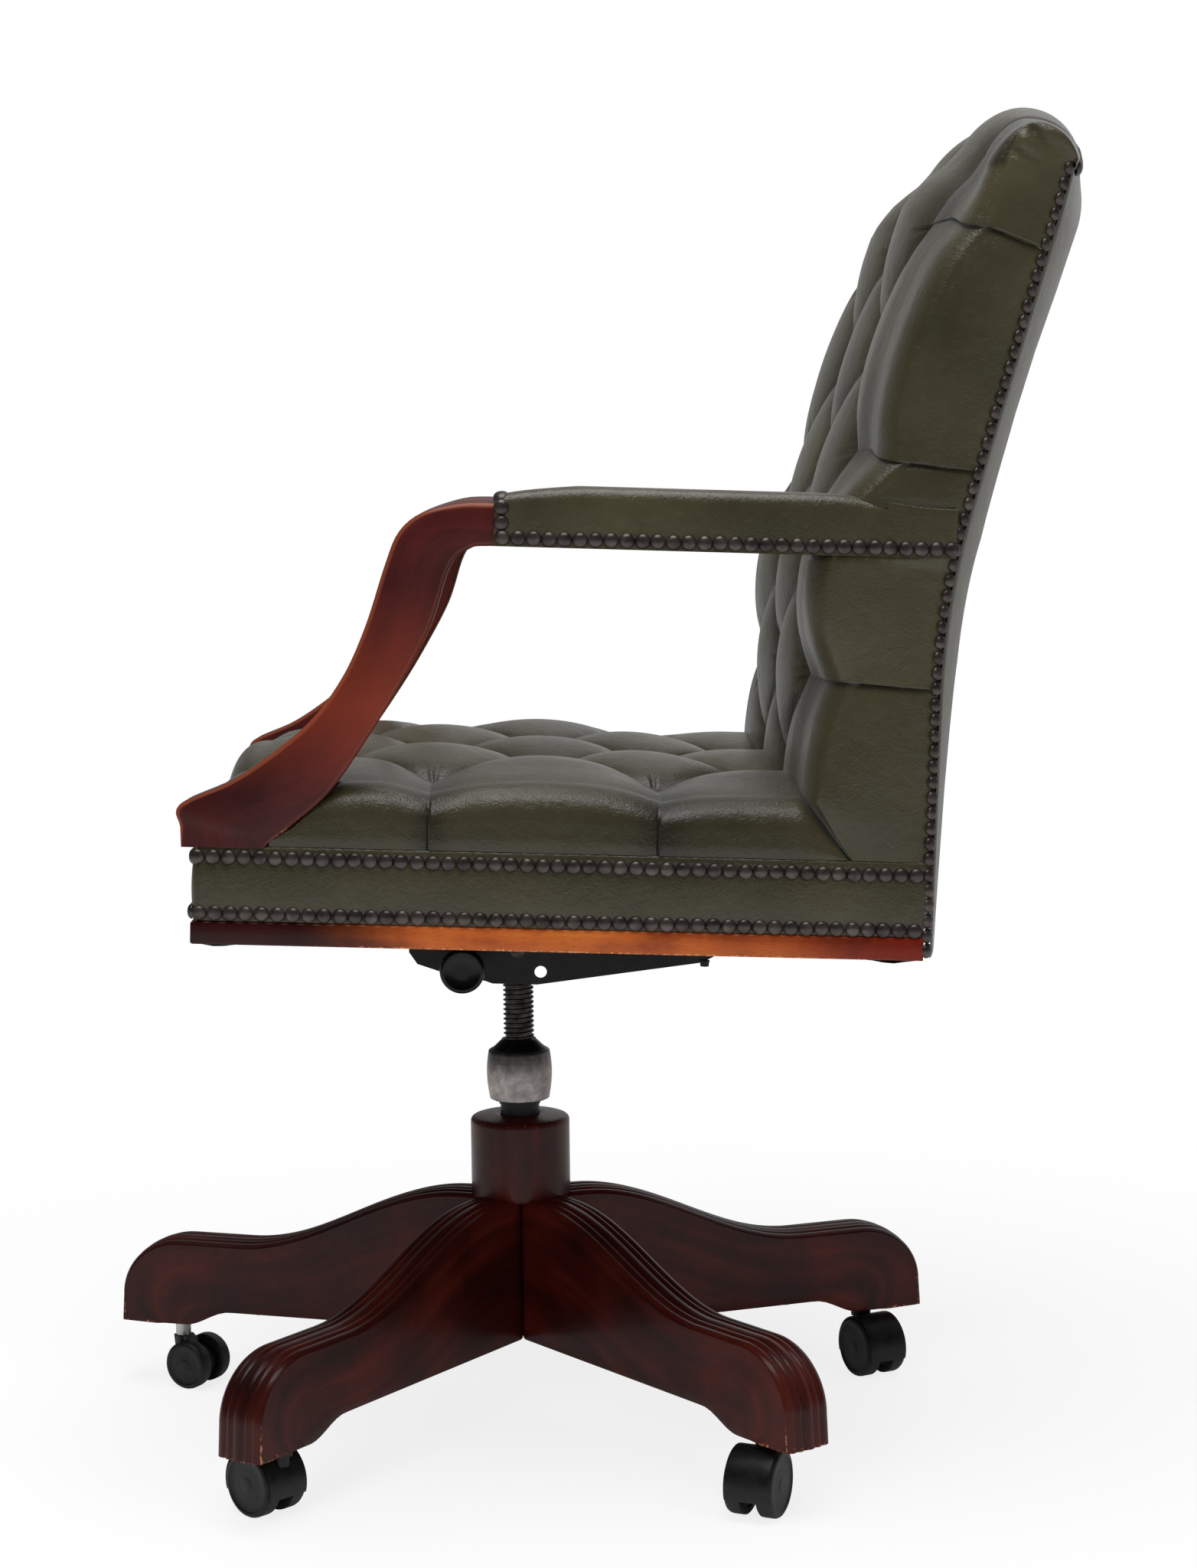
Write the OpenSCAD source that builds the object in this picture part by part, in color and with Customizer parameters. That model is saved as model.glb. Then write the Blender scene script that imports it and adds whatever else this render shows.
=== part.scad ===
/* [Seat] */
// Height of the seat frame's underside over the floor, at the spindle
seat_height = 432.8; // [415:1:470]
// Backward lean of the seat at rest, in degrees
seat_rake = 2.3; // [0:0.1:4]
// Width across the seat frame and the arms
seat_width = 600; // [560:1:660]
// Distance from the spindle to the front of the seat frame
seat_front = 235; // [215:1:260]
// Distance from the spindle to the rear of the seat frame
seat_rear = 294; // [285:1:320]
// Height of the rails, from the underside to the top
rail_height = 70; // [64:1:80]
// Thickness of the rails
rail_thick = 25; // [20:1:32]
// Height of the polished strip under the rails
strip_height = 17; // [12:1:22]
// How far the strip stands out from the rail's face
strip_proud = 3; // [2.5:0.5:5]
// Thickness of the leather over the rails
leather = 2; // [1:0.5:2.5]
// Rise of the seat cushion's valleys over the rails
seat_rise = 42; // [34:1:52]
// Rise of the puffs between the tufts
seat_puff = 20; // [10:1:24]
// Spacing of the tufts from side to side
tuft_across = 97.5; // [90:0.5:104]
// Spacing of the tufts from front to back
tuft_along = 84; // [78:0.5:88]

/* [Back] */
// Lean of the upper back, in degrees
back_lean = 14.5; // [10:0.5:18]
// Height over the frame's underside at which the back starts to lean
bend_start = 190; // [170:1:210]
// Radius of the bend in the back
bend_radius = 560; // [500:5:620]
// Height of the back's top corners over the frame's underside
corner_height = 604; // [580:1:630]
// Rise of the arched top at its middle
crest_rise = 46; // [20:1:60]
// Depth of the back frame
back_frame = 28; // [22:1:34]
// Width of the back stiles
stile_width = 35; // [28:1:45]
// Depth of the back cushion at its tufts, near the seat
back_depth = 53; // [46:1:60]
// How much thinner the back cushion is at the top
back_taper = 8; // [4:1:16]
// Rise of the back's puffs
back_puff = 14; // [8:1:18]
// Spacing of the back's tufts from side to side
back_across = 90; // [82:1:94]
// Spacing of the back's tufts in height
back_along = 84.5; // [80:0.5:90]
// Bow of the outside back at its middle
back_bow = 44; // [20:1:50]

/* [Arms] */
// Thickness of the wooden arms
arm_thick = 27; // [24:1:30]
// Height of the arms' underside over the frame's underside
arm_height = 291; // [275:1:305]
// Depth of the armrest rail
arm_rail = 30; // [26:1:34]
// Width of the arm pad
pad_width = 46; // [42:1:54]
// Thickness of the pad over the rail
pad_top = 17.5; // [12:0.5:20]

/* [Base] */
// Reach of a leg from the spindle
leg_reach = 357; // [345:1:375]
// Thickness of a leg
leg_thick = 41; // [36:1:46]
// Height of a leg's top at the hub
leg_hub_z = 183; // [175:1:192]
// Height of a leg's top over the caster
leg_shelf_z = 126.5; // [118:0.5:134]
// Height of a leg's underside
leg_under_z = 69; // [65:1:74]
// Height of the pad that takes the caster
leg_pad_z = 56; // [55.5:0.5:60]
// Height of the nose's round at the leg's end
nose_high = 47; // [40:1:50]
// Length of the nose's round
nose_long = 52; // [44:1:58]
// Widths of the moulding's reeds, across the leg
reeds = [8.5, 6.5, 11, 6.5, 8.5]; // [5:0.5:14]
// Height of a reed over its quirks
reed_high = 1.6; // [1:0.1:2.2]
// Rise of the moulding's middle over its edges
reed_crown = 2.2; // [1:0.1:3]
// Diameter of the turned hub
hub_d = 82; // [76:1:88]
// Height of the hub's top
hub_top_z = 250; // [240:1:252]

/* [Column] */
// Outer diameter of the column tube
tube_d = 32; // [30:0.5:36]
// Diameter of the spindle
spindle_d = 25.4; // [24:0.1:26]
// Lower end of the spindle
spindle_low_z = 130; // [120:1:140]
// Height of the column tube's top
tube_top_z = 260; // [258:1:262]
// Height of the barrel nut's body
nut_height = 47; // [42:1:50]
// Largest diameter of the barrel nut
nut_d = 54; // [50:1:60]
// Thickness of the thrust washer
washer_thick = 2.7; // [2:0.1:4]

/* [Mechanism] */
// Drop of the tilt pivot under the seat frame
pivot_drop = 36; // [33:1:40]
// Diameter of the pivot pin
pivot_d = 12; // [10:0.5:14]
// Width across the bracket's cheeks
bracket_width = 110; // [104:1:120]
// Thickness of the bracket's steel
bracket_steel = 3; // [2.5:0.5:4]
// Width across the bracket's mounting flanges
flange_width = 190; // [180:1:200]
// Depth of the cheeks at the spindle
cheek_depth = 64; // [60:1:66]
// Diameter of the hole across both cheeks
cross_hole_d = 10; // [8:0.5:11]
// Diameter of the lock knob
knob_d = 32; // [26:1:38]
// Diameter of the lock bolt
lock_d = 8; // [6:0.5:10]
// Distance of the knob's face from the spindle
knob_reach = 112; // [100:1:125]

/* [Casters] */
// Distance of the caster stems from the spindle
stem_reach = 310; // [300:1:316]
// Diameter of the caster wheels
wheel_d = 50; // [46:1:50]
// Width of one wheel
wheel_width = 16; // [13:0.5:17]
// Width of the hood's web between the wheels
web_width = 12; // [11:0.5:14]
// Distance from the stem to the axle
trail = 18; // [14:0.5:20]
// Diameter of the stems
stem_d = 8; // [7:0.5:9]
// Diameter of the axles
axle_d = 6; // [5:0.5:7]
// Diameter of the bare caster's wheels
bare_wheel_d = 41; // [38:0.5:44]
// Heading of each caster, in degrees
caster_headings = [225, -26, 26, 150, 60]; // [-180:1:360]

/* [Fits] */
// Radial clearance of a turning fit
run_fit = 0.05; // [0.02:0.01:0.09]
// Gap between soft pieces and what they lie on
soft_gap = 0.4; // [0.3:0.1:0.8]
// Gap between faces that pass each other
face_gap = 0.5; // [0.4:0.1:1]

/* [Hidden] */
$fn = 64;

leg_count = 5;

seat_half = seat_width / 2;
rail_out = seat_half - strip_proud;
rail_in = rail_out - rail_thick;
rail_front = seat_front - strip_proud;
pad_skin = 3;
back_half = rail_out + leather;
back_lining = 4.5;
nail_y = seat_rear + back_lining;
pivot_local = [0, pivot_drop * sin(seat_rake), -pivot_drop * cos(seat_rake)];
pivot_z = seat_height - pivot_drop;
lock_local = [0, -42, -45];
cross_local = [0, 20.6, -53.7];
cheek_in = bracket_width / 2 - bracket_steel;
nut_low_z = tube_top_z + 0.3 + washer_thick;
nut_top_z = nut_low_z + nut_height;
first_leg = -180 / leg_count;
leg_step = 360 / leg_count;
socket_d = stem_d + 4;
socket_deep = 36;
bare_caster = leg_count;

// A smooth step from 0 to 1
function ease(t) = (1 - cos(180 * min(1, max(0, t)))) / 2;

// A point between two others
function mix(a, b, t) = a + (b - a) * t;

// A curve through a list of points, with some steps between each two
function curve(p, steps) = [for (i = [0 : len(p) - 2], k = [0 : steps - 1])
    let (a = p[max(0, i - 1)], b = p[i], c = p[i + 1], d = p[min(len(p) - 1, i + 2)], t = k / steps)
    ((2 * b) + (c - a) * t + (2 * a - 5 * b + 4 * c - d) * t * t + (3 * b - a - 3 * c + d) * t * t * t) / 2];

// A closed solid through rings of points, all with the same number of points; the ends are fans from the
// ring's first point unless they are given as faces, each a fan from its own first point
module loft(rings, ends = []) {
    n = len(rings);
    m = len(rings[0]);
    walls = [for (i = [0 : n - 2], j = [0 : m - 1])
        let (a = i * m + j, b = i * m + (j + 1) % m, c = b + m, d = a + m)
        each [[a, b, c], [a, c, d]]];
    caps = len(ends) > 0 ? ends : [[for (j = [0 : m - 1]) j]];
    first = [for (f = caps) [for (j = [len(f) : -1 : 1]) f[j % len(f)]]];
    last = [for (f = caps) [for (j = f) (n - 1) * m + j]];
    polyhedron([for (r = rings) each r], concat(walls, first, last));
}

// The ends of a ring that runs up one side and down the other in the same number of steps
function strip_ends(m) = [for (j = [0 : m / 2 - 2]) [j, j + 1, m - 2 - j, m - 1 - j]];

// Diamond puffs: 0 along the pleats and at the tufts, 1 in the middle of a puff
function puff(x, y, a, b) = pow(abs(sin(90 * (x / a + y / b)) * sin(90 * (x / a - y / b))), 0.55);

// How far a tuft draws the leather in, 1 at the tuft
function pit(x, y, a, b) =
    let (i = round((x / a + y / b) / 2), j = round((x / a - y / b) / 2))
    exp(-(pow(x - (i + j) * a, 2) + pow(y - (i - j) * b, 2)) / 500);

// The seat's own frame: its origin is in the plane of the frame's underside, over the spindle
module on_seat() {
    translate([0, 0, seat_height]) rotate([-seat_rake, 0, 0]) children();
}

// The back's rear line: upright, then a bend, then a straight lean
bend_end = bend_start + bend_radius * sin(back_lean);
function rear_y(z) = nail_y +
    (z < bend_start ? 0
    : z < bend_end ? bend_radius - sqrt(pow(bend_radius, 2) - pow(z - bend_start, 2))
    : bend_radius * (1 - cos(back_lean)) + (z - bend_end) * tan(back_lean));

// Height of the back's arched top
function top_z(x) = corner_height + crest_rise * ease(1.2 * (1 - abs(x) / back_half));

// Base

leg_stations = concat(
    [[0, leg_hub_z, 90, 0], [50, leg_hub_z, 90, 50]],
    [for (k = [1 : 8]) let (r = mix(50, 248, k / 9))
        [r, mix(leg_hub_z, leg_shelf_z, ease(k / 9)), 90 - leg_fall(k / 9), r]],
    [[248, leg_shelf_z, 90, 248], [280, leg_shelf_z, 90, 268]],
    [for (k = [0 : 6]) let (a = 90 - 15 * k)
        [leg_reach - 2 + nose_long * (cos(a) - 1), leg_shelf_z + nose_high * (sin(a) - 1),
            atan2(sin(a) / nose_high, cos(a) / nose_long), 282 + 6 * k]],
    [[leg_reach, leg_pad_z + 1, 0, 325]]);

// Fall of the leg's top line along its S-curve, in degrees
function leg_fall(t) = atan((leg_hub_z - leg_shelf_z) * 0.5 * PI * sin(180 * t) / 198);

// Height of the leg's underside
function leg_under(r) = mix(leg_under_z, leg_pad_z, ease((r - 258) / 42));

// The moulding across the leg's top: side to side place, height over the edge
reed_total = reeds[0] + reeds[1] + reeds[2] + reeds[3] + reeds[4];
function reed_start(i) = i == 0 ? 0 : reed_start(i - 1) + reeds[i - 1];
reed_steps = 4;
moulding = concat([[-0.5, 0]],
    [for (i = [0 : len(reeds) - 1], k = [0 : reed_steps])
        let (s = (reed_start(i) + reeds[i] * (k + (k == 0 ? 0.06 : k == reed_steps ? -0.06 : 0)) / reed_steps)
            / reed_total - 0.5)
        [s, reed_crown * (1 - pow(2 * s, 2)) + reed_high * sin(180 * k / reed_steps)]],
    [[0.5, 0]]);

module leg(k) {
    angle = first_leg + leg_step * (k - 1);
    rings = [for (p = leg_stations)
        concat([[p[3], -leg_thick / 2, leg_under(p[3])]],
            [for (m = moulding) [p[0] + m[1] * cos(p[2]), m[0] * leg_thick, p[1] + m[1] * sin(p[2])]],
            [[p[3], leg_thick / 2, leg_under(p[3])]])];
    color("#45150f") rotate([0, 0, angle]) difference() {
        intersection() {
            loft(rings);
            linear_extrude(leg_hub_z + 20)
                polygon([[0, 0], [leg_reach + 20, (leg_reach + 20) * tan(leg_step / 2)],
                    [leg_reach + 20, -(leg_reach + 20) * tan(leg_step / 2)]]);
        }
        translate([0, 0, leg_hub_z - 7]) cylinder(d = hub_d, h = 40);
        cylinder(d = tube_d, h = leg_hub_z + 20);
        translate([stem_reach, 0, leg_pad_z - 1]) cylinder(d = socket_d, h = socket_deep + 1);
        translate([stem_reach, 0, leg_pad_z - 1]) cylinder(d = socket_d + 8, h = 2.2);
    }
}

module hub_column() {
    round = 3;
    color("#4c1a12") rotate_extrude() difference() {
        union() {
            translate([0, leg_hub_z - 7]) square([hub_d / 2, hub_top_z - round - leg_hub_z + 7]);
            square_top = hub_top_z - round;
            translate([0, square_top]) square([hub_d / 2 - round, round]);
            translate([hub_d / 2 - round, square_top]) circle(r = round);
        }
        translate([-1, 0]) square([tube_d / 2 + 1, hub_top_z + 10]);
        translate([-hub_d, 0]) square([hub_d, hub_top_z + 10]);
    }
}

module column_tube() {
    color("#1d1c1e") difference() {
        translate([0, 0, leg_under_z + 2]) cylinder(d = tube_d, h = tube_top_z - leg_under_z - 2);
        cylinder(d = spindle_d + 1.6, h = tube_top_z + 10);
    }
}

module caster_sockets() {
    color("silver") for (k = [0 : leg_count - 1])
        rotate([0, 0, first_leg + leg_step * k]) translate([stem_reach, 0, leg_pad_z]) difference() {
            union() {
                cylinder(d = socket_d, h = socket_deep);
                cylinder(d = socket_d + 8, h = 1.2);
            }
            translate([0, 0, -1]) cylinder(d = stem_d + 2 * run_fit, h = socket_deep + 2);
        }
}

module leg_plugs() {
    color("#2a0d0a") for (k = [0 : leg_count - 1], r = [76, 238])
        rotate([0, 0, first_leg + leg_step * k]) translate([r, 0, leg_under_z - 3]) {
            cylinder(d = 14, h = 3);
            translate([0, 0, -1.5]) cylinder(d1 = 9, d2 = 14, h = 1.5);
        }
}

// Column

module height_nut() {
    low_d = nut_d - 7;
    color("#8d8a86") rotate_extrude() difference() {
        polygon(concat(
            [[0, nut_low_z]],
            [for (t = [0 : 0.1 : 1]) [mix(low_d, nut_d, sin(160 * t)) / 2, mix(nut_low_z, nut_top_z, t)]],
            [[spindle_d / 2 + 3, nut_top_z + 14], [0, nut_top_z + 14]]));
        translate([-1, 0]) square([spindle_d / 2 + run_fit + 1, nut_top_z + 40]);
    }
}

module thrust_washer() {
    color("#2a2a2c") translate([0, 0, nut_low_z - washer_thick]) difference() {
        cylinder(d = tube_d + 2, h = washer_thick);
        translate([0, 0, -1]) cylinder(d = spindle_d + 0.6, h = washer_thick + 2);
    }
}

head_low_z = pivot_z - 14;

module spindle() {
    color("#4c4743") translate([0, 0, spindle_low_z]) cylinder(d = spindle_d, h = head_low_z - spindle_low_z);
}

module spindle_head() {
    size = [44, 30, 28];
    color("#232225") difference() {
        translate([-size[0] / 2, -size[1] / 2, head_low_z]) cube(size);
        translate([0, 0, pivot_z]) rotate([0, 90, 0]) cylinder(d = pivot_d, h = size[0] + 2, center = true);
    }
}

module torsion_rubbers() {
    long = cheek_in - 22 - face_gap;
    color("#18181a") for (side = [-1, 1]) translate([side * (22 + long / 2), 0, pivot_z]) rotate([0, 90, 0])
        difference() {
            cylinder(d = 28, h = long, center = true);
            cylinder(d = pivot_d, h = long + 2, center = true);
        }
}

module pivot_pin() {
    long = bracket_width + 6;
    color("#77757a") translate([0, 0, pivot_z]) rotate([0, 90, 0])
        cylinder(d = pivot_d, h = long, center = true);
}

// Mechanism

// The bracket is welded up from a plate, two cheeks and a strap
weld_gap = 0.05;

module cheek() {
    top = -bracket_steel - weld_gap;
    rotate([90, 0, 90]) linear_extrude(bracket_steel) polygon([[-86, top], [-86, -40], [-79, -49.5],
        [-58, -56], [-24, 2 - cheek_depth], [-18, -cheek_depth], [18, -cheek_depth], [150, -43], [160, -38],
        [160, top]]);
}

flange_holes = [for (x = [-1, 1], y = [-60, 120]) [x * (bracket_width + flange_width) / 4, y]];

module tilt_bracket() {
    color("#232226") on_seat() difference() {
        union() {
            for (x = [-bracket_width / 2, cheek_in]) translate([x, 0, 0]) cheek();
            translate([-flange_width / 2, -86, -bracket_steel]) cube([flange_width, 246, bracket_steel]);
            translate([weld_gap - cheek_in, 140, -43 + bracket_steel])
                cube([2 * cheek_in - 2 * weld_gap, 16, bracket_steel]);
        }
        translate(pivot_local) rotate([0, 90, 0])
            cylinder(d = pivot_d + 2 * run_fit, h = bracket_width + 10, center = true);
        translate(lock_local) rotate([0, 90, 0])
            cylinder(d = lock_d + 2 * run_fit, h = bracket_width + 10, center = true);
        translate(cross_local) rotate([0, 90, 0])
            cylinder(d = cross_hole_d, h = bracket_width + 10, center = true);
        for (p = flange_holes) translate([p[0], p[1], -10]) cylinder(d = 6.6, h = 20);
        translate([0, 148, -60]) cylinder(d = 6.6, h = 40);
    }
}

module hex_bolt(long) {
    translate([0, 0, -4]) cylinder(d = 11.5, h = 4, $fn = 6);
    cylinder(d = 6, h = long);
}

module bracket_bolts() {
    color("#39383b") on_seat() {
        for (p = flange_holes) translate([p[0], p[1], -bracket_steel]) hex_bolt(24);
        translate([0, 148, -43 + bracket_steel]) hex_bolt(16);
    }
}

module lock_bolt() {
    long = knob_reach - 8 + cheek_in + 14;
    color("#6b6a6e") on_seat() translate([knob_reach - 8, lock_local[1], lock_local[2]]) rotate([0, -90, 0]) {
        cylinder(d = lock_d, h = long);
        translate([0, 0, long - 7]) cylinder(d = 14, h = 6, $fn = 6);
    }
}

module lock_knob() {
    color("#161617") on_seat() translate([knob_reach - 16, lock_local[1], lock_local[2]]) rotate([0, 90, 0])
        rotate_extrude() difference() {
            union() {
                square([knob_d / 2 - 6, 4]);
                translate([0, 4]) square([knob_d / 2 - 1.5, 10]);
                translate([0, 5.5]) square([knob_d / 2, 7]);
                translate([knob_d / 2 - 1.5, 5.5]) circle(r = 1.5);
                translate([knob_d / 2 - 1.5, 12.5]) circle(r = 1.5);
                translate([0, 14]) square([knob_d / 2 - 3, 2]);
            }
            translate([-1, -1]) square([lock_d / 2 + 1, 9]);
            translate([-knob_d, -1]) square([knob_d, 30]);
        }
}

// Seat frame

module side_rail(side) {
    color("#c19a66") on_seat() translate([side > 0 ? rail_in : -rail_out, -rail_front, strip_height])
        cube([rail_thick, rail_front + seat_rear, rail_height - strip_height]);
}

module front_rail() {
    color("#c19a66") on_seat() translate([-rail_in, -rail_front, strip_height])
        cube([2 * rail_in, rail_thick, rail_height - strip_height]);
}

module rear_rail() {
    color("#c19a66") on_seat() translate([-rail_in, seat_rear - rail_thick, 0])
        cube([2 * rail_in, rail_thick, rail_height]);
}

module show_strips() {
    wide = rail_thick + strip_proud;
    color("#8a3a1c") on_seat() {
        for (side = [-1, 1]) linear_extrude(strip_height) polygon([[side * seat_half, -seat_front],
            [side * seat_half, seat_rear], [side * (seat_half - wide), seat_rear],
            [side * (seat_half - wide), wide - seat_front]]);
        linear_extrude(strip_height) polygon([[-seat_half, -seat_front], [seat_half, -seat_front],
            [seat_half - wide, wide - seat_front], [wide - seat_half, wide - seat_front]]);
    }
}

module leather_bands() {
    high = rail_height - strip_height - 2;
    color("#3c3d29") on_seat() translate([0, 0, strip_height]) {
        for (side = [-1, 1]) translate([side > 0 ? rail_out : -rail_out - leather, -rail_front, 0])
            cube([leather, rail_front + seat_rear, high]);
        translate([-rail_out - leather, -rail_front - leather, 0])
            cube([2 * (rail_out + leather), leather, high]);
    }
}

module corner_blocks() {
    leg = 60;
    color("#b58a58") on_seat() for (x = [-1, 1], y = [-1, 1])
        let (corner = [x * rail_in, y > 0 ? seat_rear - rail_thick : rail_thick - rail_front])
        translate([corner[0], corner[1], 25]) linear_extrude(32)
            polygon([[0, 0], [-x * leg, 0], [0, -y * leg]]);
}

module cross_battens() {
    wide = 60;
    color("#b58a58") on_seat() for (side = [-1, 1]) difference() {
        translate([side * (bracket_width + flange_width) / 4 - wide / 2, rail_thick - rail_front, 0])
            cube([wide, rail_front + seat_rear - 2 * rail_thick, 22]);
        for (p = flange_holes) translate([p[0], p[1], -1]) cylinder(d = 6, h = 22 + 2);
    }
}

module seat_webbing() {
    strap = 50;
    color("#2e2a24") on_seat() {
        for (k = [-2 : 2]) translate([k * 95 - strap / 2, -rail_front + 4, rail_height])
            cube([strap, rail_front + seat_rear - rail_thick - 6, 1.5]);
    }
}

module dust_cover() {
    color("#141414") on_seat() translate([0, 0, -1]) difference() {
        translate([-seat_half + 8, -seat_front + 8, 0])
            cube([seat_width - 16, seat_front + seat_rear - 12, 0.8]);
        translate([-flange_width / 2 - 4, -90, -1]) cube([flange_width + 8, 254, 4]);
    }
}

// Upholstery

// Height of the seat cushion over the rails, before its edges are rounded
tuft_y0 = -66;
seat_last_x = 2 * tuft_across;
function seat_top(x, y) =
    let (xc = max(-seat_last_x, min(seat_last_x, x)), yc = max(-tuft_along, min(3 * tuft_along, y - tuft_y0)))
    seat_rise - 7 * ease((y - 40) / 150) + seat_puff * puff(xc, yc, tuft_across, tuft_along)
        - 7 * pit(xc, yc, tuft_across, tuft_along) * (abs(x - xc) + abs(y - tuft_y0 - yc) < 1 ? 1 : 0.3);

seat_foot = rail_height + 1.5 + soft_gap;
seat_last_y = seat_rear - 57;

// Fall of the cushion's rear slope, in line with the foot of the back cushion
function slope_y(h) = seat_last_y - 0.78 * h;

// Where the arm stands on the cushion's side, and the height of the arm's underside there
notch_x = seat_half - arm_thick - soft_gap;
notch_y = -180;
function arm_low(y) = lookup(y - soft_gap, arm_rear) - seat_foot - 4 * soft_gap;

function seat_ring(x, notched = false) =
    let (e = pow(1 - pow(abs(x) / seat_half, 14), 0.4), n = 29, y0 = notched ? notch_y : -rail_front - 4,
        bulge = notched ? 0 : 11 * e, first = notched ? 0.8 : -4)
    concat(
        [[x, 40, seat_foot], [x, y0 + (notched ? 0 : 2), seat_foot],
            [x, y0 - bulge, seat_foot + (notched ? 0.3 : 10 * e)],
            [x, y0 + 0.4 - bulge * 0.95, seat_foot + (notched ? 0.6 : 22 * e)]],
        [for (k = [0 : n]) let (t = k / n, y = mix(y0 + first, slope_y(seat_top(x, 200) * e) - 2, t),
            h = e * seat_top(x, y) * (1 - 0.42 * pow(1 - min(1, (y + rail_front + 8) / 60), 2.2)))
            [x, y, seat_foot + (notched && y < -60 ? min(h, arm_low(y)) : h)]],
        [[x, seat_last_y, seat_foot]]);

// The ends' faces: from the foot's front, middle and rear to the puffs over them
seat_ends = [[for (j = [1 : 12]) j], concat([0, 1], [for (j = [12 : 24]) j], [34]),
    concat([34], [for (j = [24 : 33]) j])];

// Sections from side to side, closer together near the edges
function spread(u) = u * (1.22 - 0.22 * u * u);

module seat_cushion() {
    n = 13;
    steps = [0.2, 9, 18, 25.4];
    color("#3b3c28") on_seat() loft(concat(
        [for (k = [3 : -1 : 0]) seat_ring(-notch_x - steps[k], true)],
        [for (k = [-n : n]) seat_ring(notch_x * spread(k / n))],
        [for (k = [0 : 3]) seat_ring(notch_x + steps[k], true)]), seat_ends);
}

// Distance of the back's front from its rear line, before its edges are rounded
back_z0 = 200;
back_last_x = 2 * back_across;
function back_thick(x, z) =
    let (xc = max(-back_last_x, min(back_last_x, x)),
        zc = max(-back_along, min(4.5 * back_along, z - back_z0)))
    back_frame + 3 + back_depth - back_taper * ease((z - 300) / 200)
        - 30 * pow(max(0, 1 - (top_z(x) - z) / 90), 1.3) - 5 * ease((abs(x) - 190) / 50)
        + back_puff * puff(xc, zc, back_across, back_along)
        - 6 * pit(xc, zc, back_across, back_along) * (abs(x - xc) < 1 ? 1 : 0.3);

back_foot = seat_foot;

// Front and rear faces of the back frame
function frame_front(z) = rear_y(z) - back_lining - back_frame;
function frame_rear(z) = rear_y(z) - back_lining;
crest = 64;
roll = 26;

// Front of the back cushion
function back_front(x, z) =
    let (e = pow(1 - pow(abs(x) / (back_half + 3), 9), 0.4), rise = z - seat_foot,
        foot = nail_y - slope_y(rise) - 1.5 + max(0, z - 128) * 3)
    rear_y(z) - min(back_thick(x, z) * (0.85 + 0.15 * e), foot);

// Lower and upper side of the opening that the arm's end and its pad take up in the cushion's sides
arm_gap_low = arm_height - soft_gap;
arm_top = arm_height + arm_rail;
function arm_gap_high(y) = mix(arm_top + pad_top + 2, arm_top + 10, (y - 200) / 75);

// A ring of the cushion between two heights at its front, square to the frame behind
function back_ring(x, z0, z1, n) =
    let (r1 = z1 > arm_gap_low + 1 ? arm_gap_high(275) - 0.2 : z1, mid = (z0 + r1) / 2,
        gap = soft_gap + 0.15 + pow(r1 - mid, 2) / (8 * bend_radius))
    concat([[x, frame_front(mid) - gap, mid], [x, frame_front(z0) - soft_gap, z0]],
        [for (k = [0 : n]) let (z = mix(z0, z1, k / n)) [x, back_front(x, z), z]],
        [[x, frame_front(r1) - gap, r1]]);
low_ends = [[for (j = [1 : 5]) j], concat([0, 1], [for (j = [5 : 9]) j], [13]),
    concat([13], [for (j = [9 : 12]) j])];

// The top part rolls over the frame's crest
function top_ring(x, z0, n) =
    let (top = top_z(x), low = top - crest + soft_gap, e = pow(1 - pow(abs(x) / (back_half + 3), 9), 0.4),
        brow = rear_y(top - roll) + 24 * e, y0 = back_front(x, top - roll), r0 = arm_gap_high(275))
    concat(
        [[x, frame_front(low) - soft_gap, low], [x, frame_front(r0) - soft_gap, r0]],
        [for (k = [0 : n]) let (z = mix(z0, top - roll, k / n)) [x, back_front(x, z), z]],
        [for (a = [30 : 30 : 150]) [x, mix(y0, brow, (1 - cos(a)) / 2), top - roll + roll * sin(a)]],
        [[x, brow, top - roll], [x, frame_rear(top - roll - 1), top - roll - 1], [x, frame_rear(low), low]]);
top_ends = [[for (j = [1 : 9]) j], concat([0, 1], [for (j = [9 : 20]) j]), [23, 24, 0, 20, 21, 22]];

module back_cushion() {
    n = 13;
    wide = back_half;
    inner = seat_half + pad_skin - pad_width - soft_gap;
    high = arm_gap_high(200);
    color("#3b3c28") on_seat() {
        loft([for (k = [-n : n]) back_ring(wide * spread(k / n), back_foot, arm_gap_low, 10)], low_ends);
        loft([for (k = [-n + 2 : n - 2]) let (x = max(-inner, min(inner, wide * spread(k / n))))
            back_ring(x, arm_gap_low + 0.2, high - 0.2, 3)]);
        loft([for (k = [-n : n]) top_ring(wide * spread(k / n), high, 14)], top_ends);
    }
}

module back_side_covers() {
    color("#3b3c28") on_seat() for (side = [-1, 1])
        translate([side > 0 ? back_half - leather : -back_half, 0, 0])
            rotate([90, 0, 90]) linear_extrude(leather) stile_profile();
}

function bow_y(x, z) =
    let (u = abs(x) / back_half, t = z / top_z(x))
    back_bow * (1 - pow(u, 2.6)) * mix(0.45, 1, ease(t * 1.15)) * (1 - pow(max(0, t - 0.75) * 4, 4) * 0.35);

module outside_back() {
    n = 12;
    m = 13;
    rings = [for (k = [-n : n]) let (x = back_half * spread(k / n), top = top_z(x) - roll - 2)
        concat([for (j = [m : -1 : 0]) let (z = top * j / m) [x, rear_y(z) + 2 + bow_y(x, z), z]],
            [for (j = [0 : m]) let (z = top * j / m) [x, frame_rear(z) + soft_gap, z]])];
    color("#3a3b28") on_seat() loft(rings, strip_ends(2 * m + 2));
}

// Back frame

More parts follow.
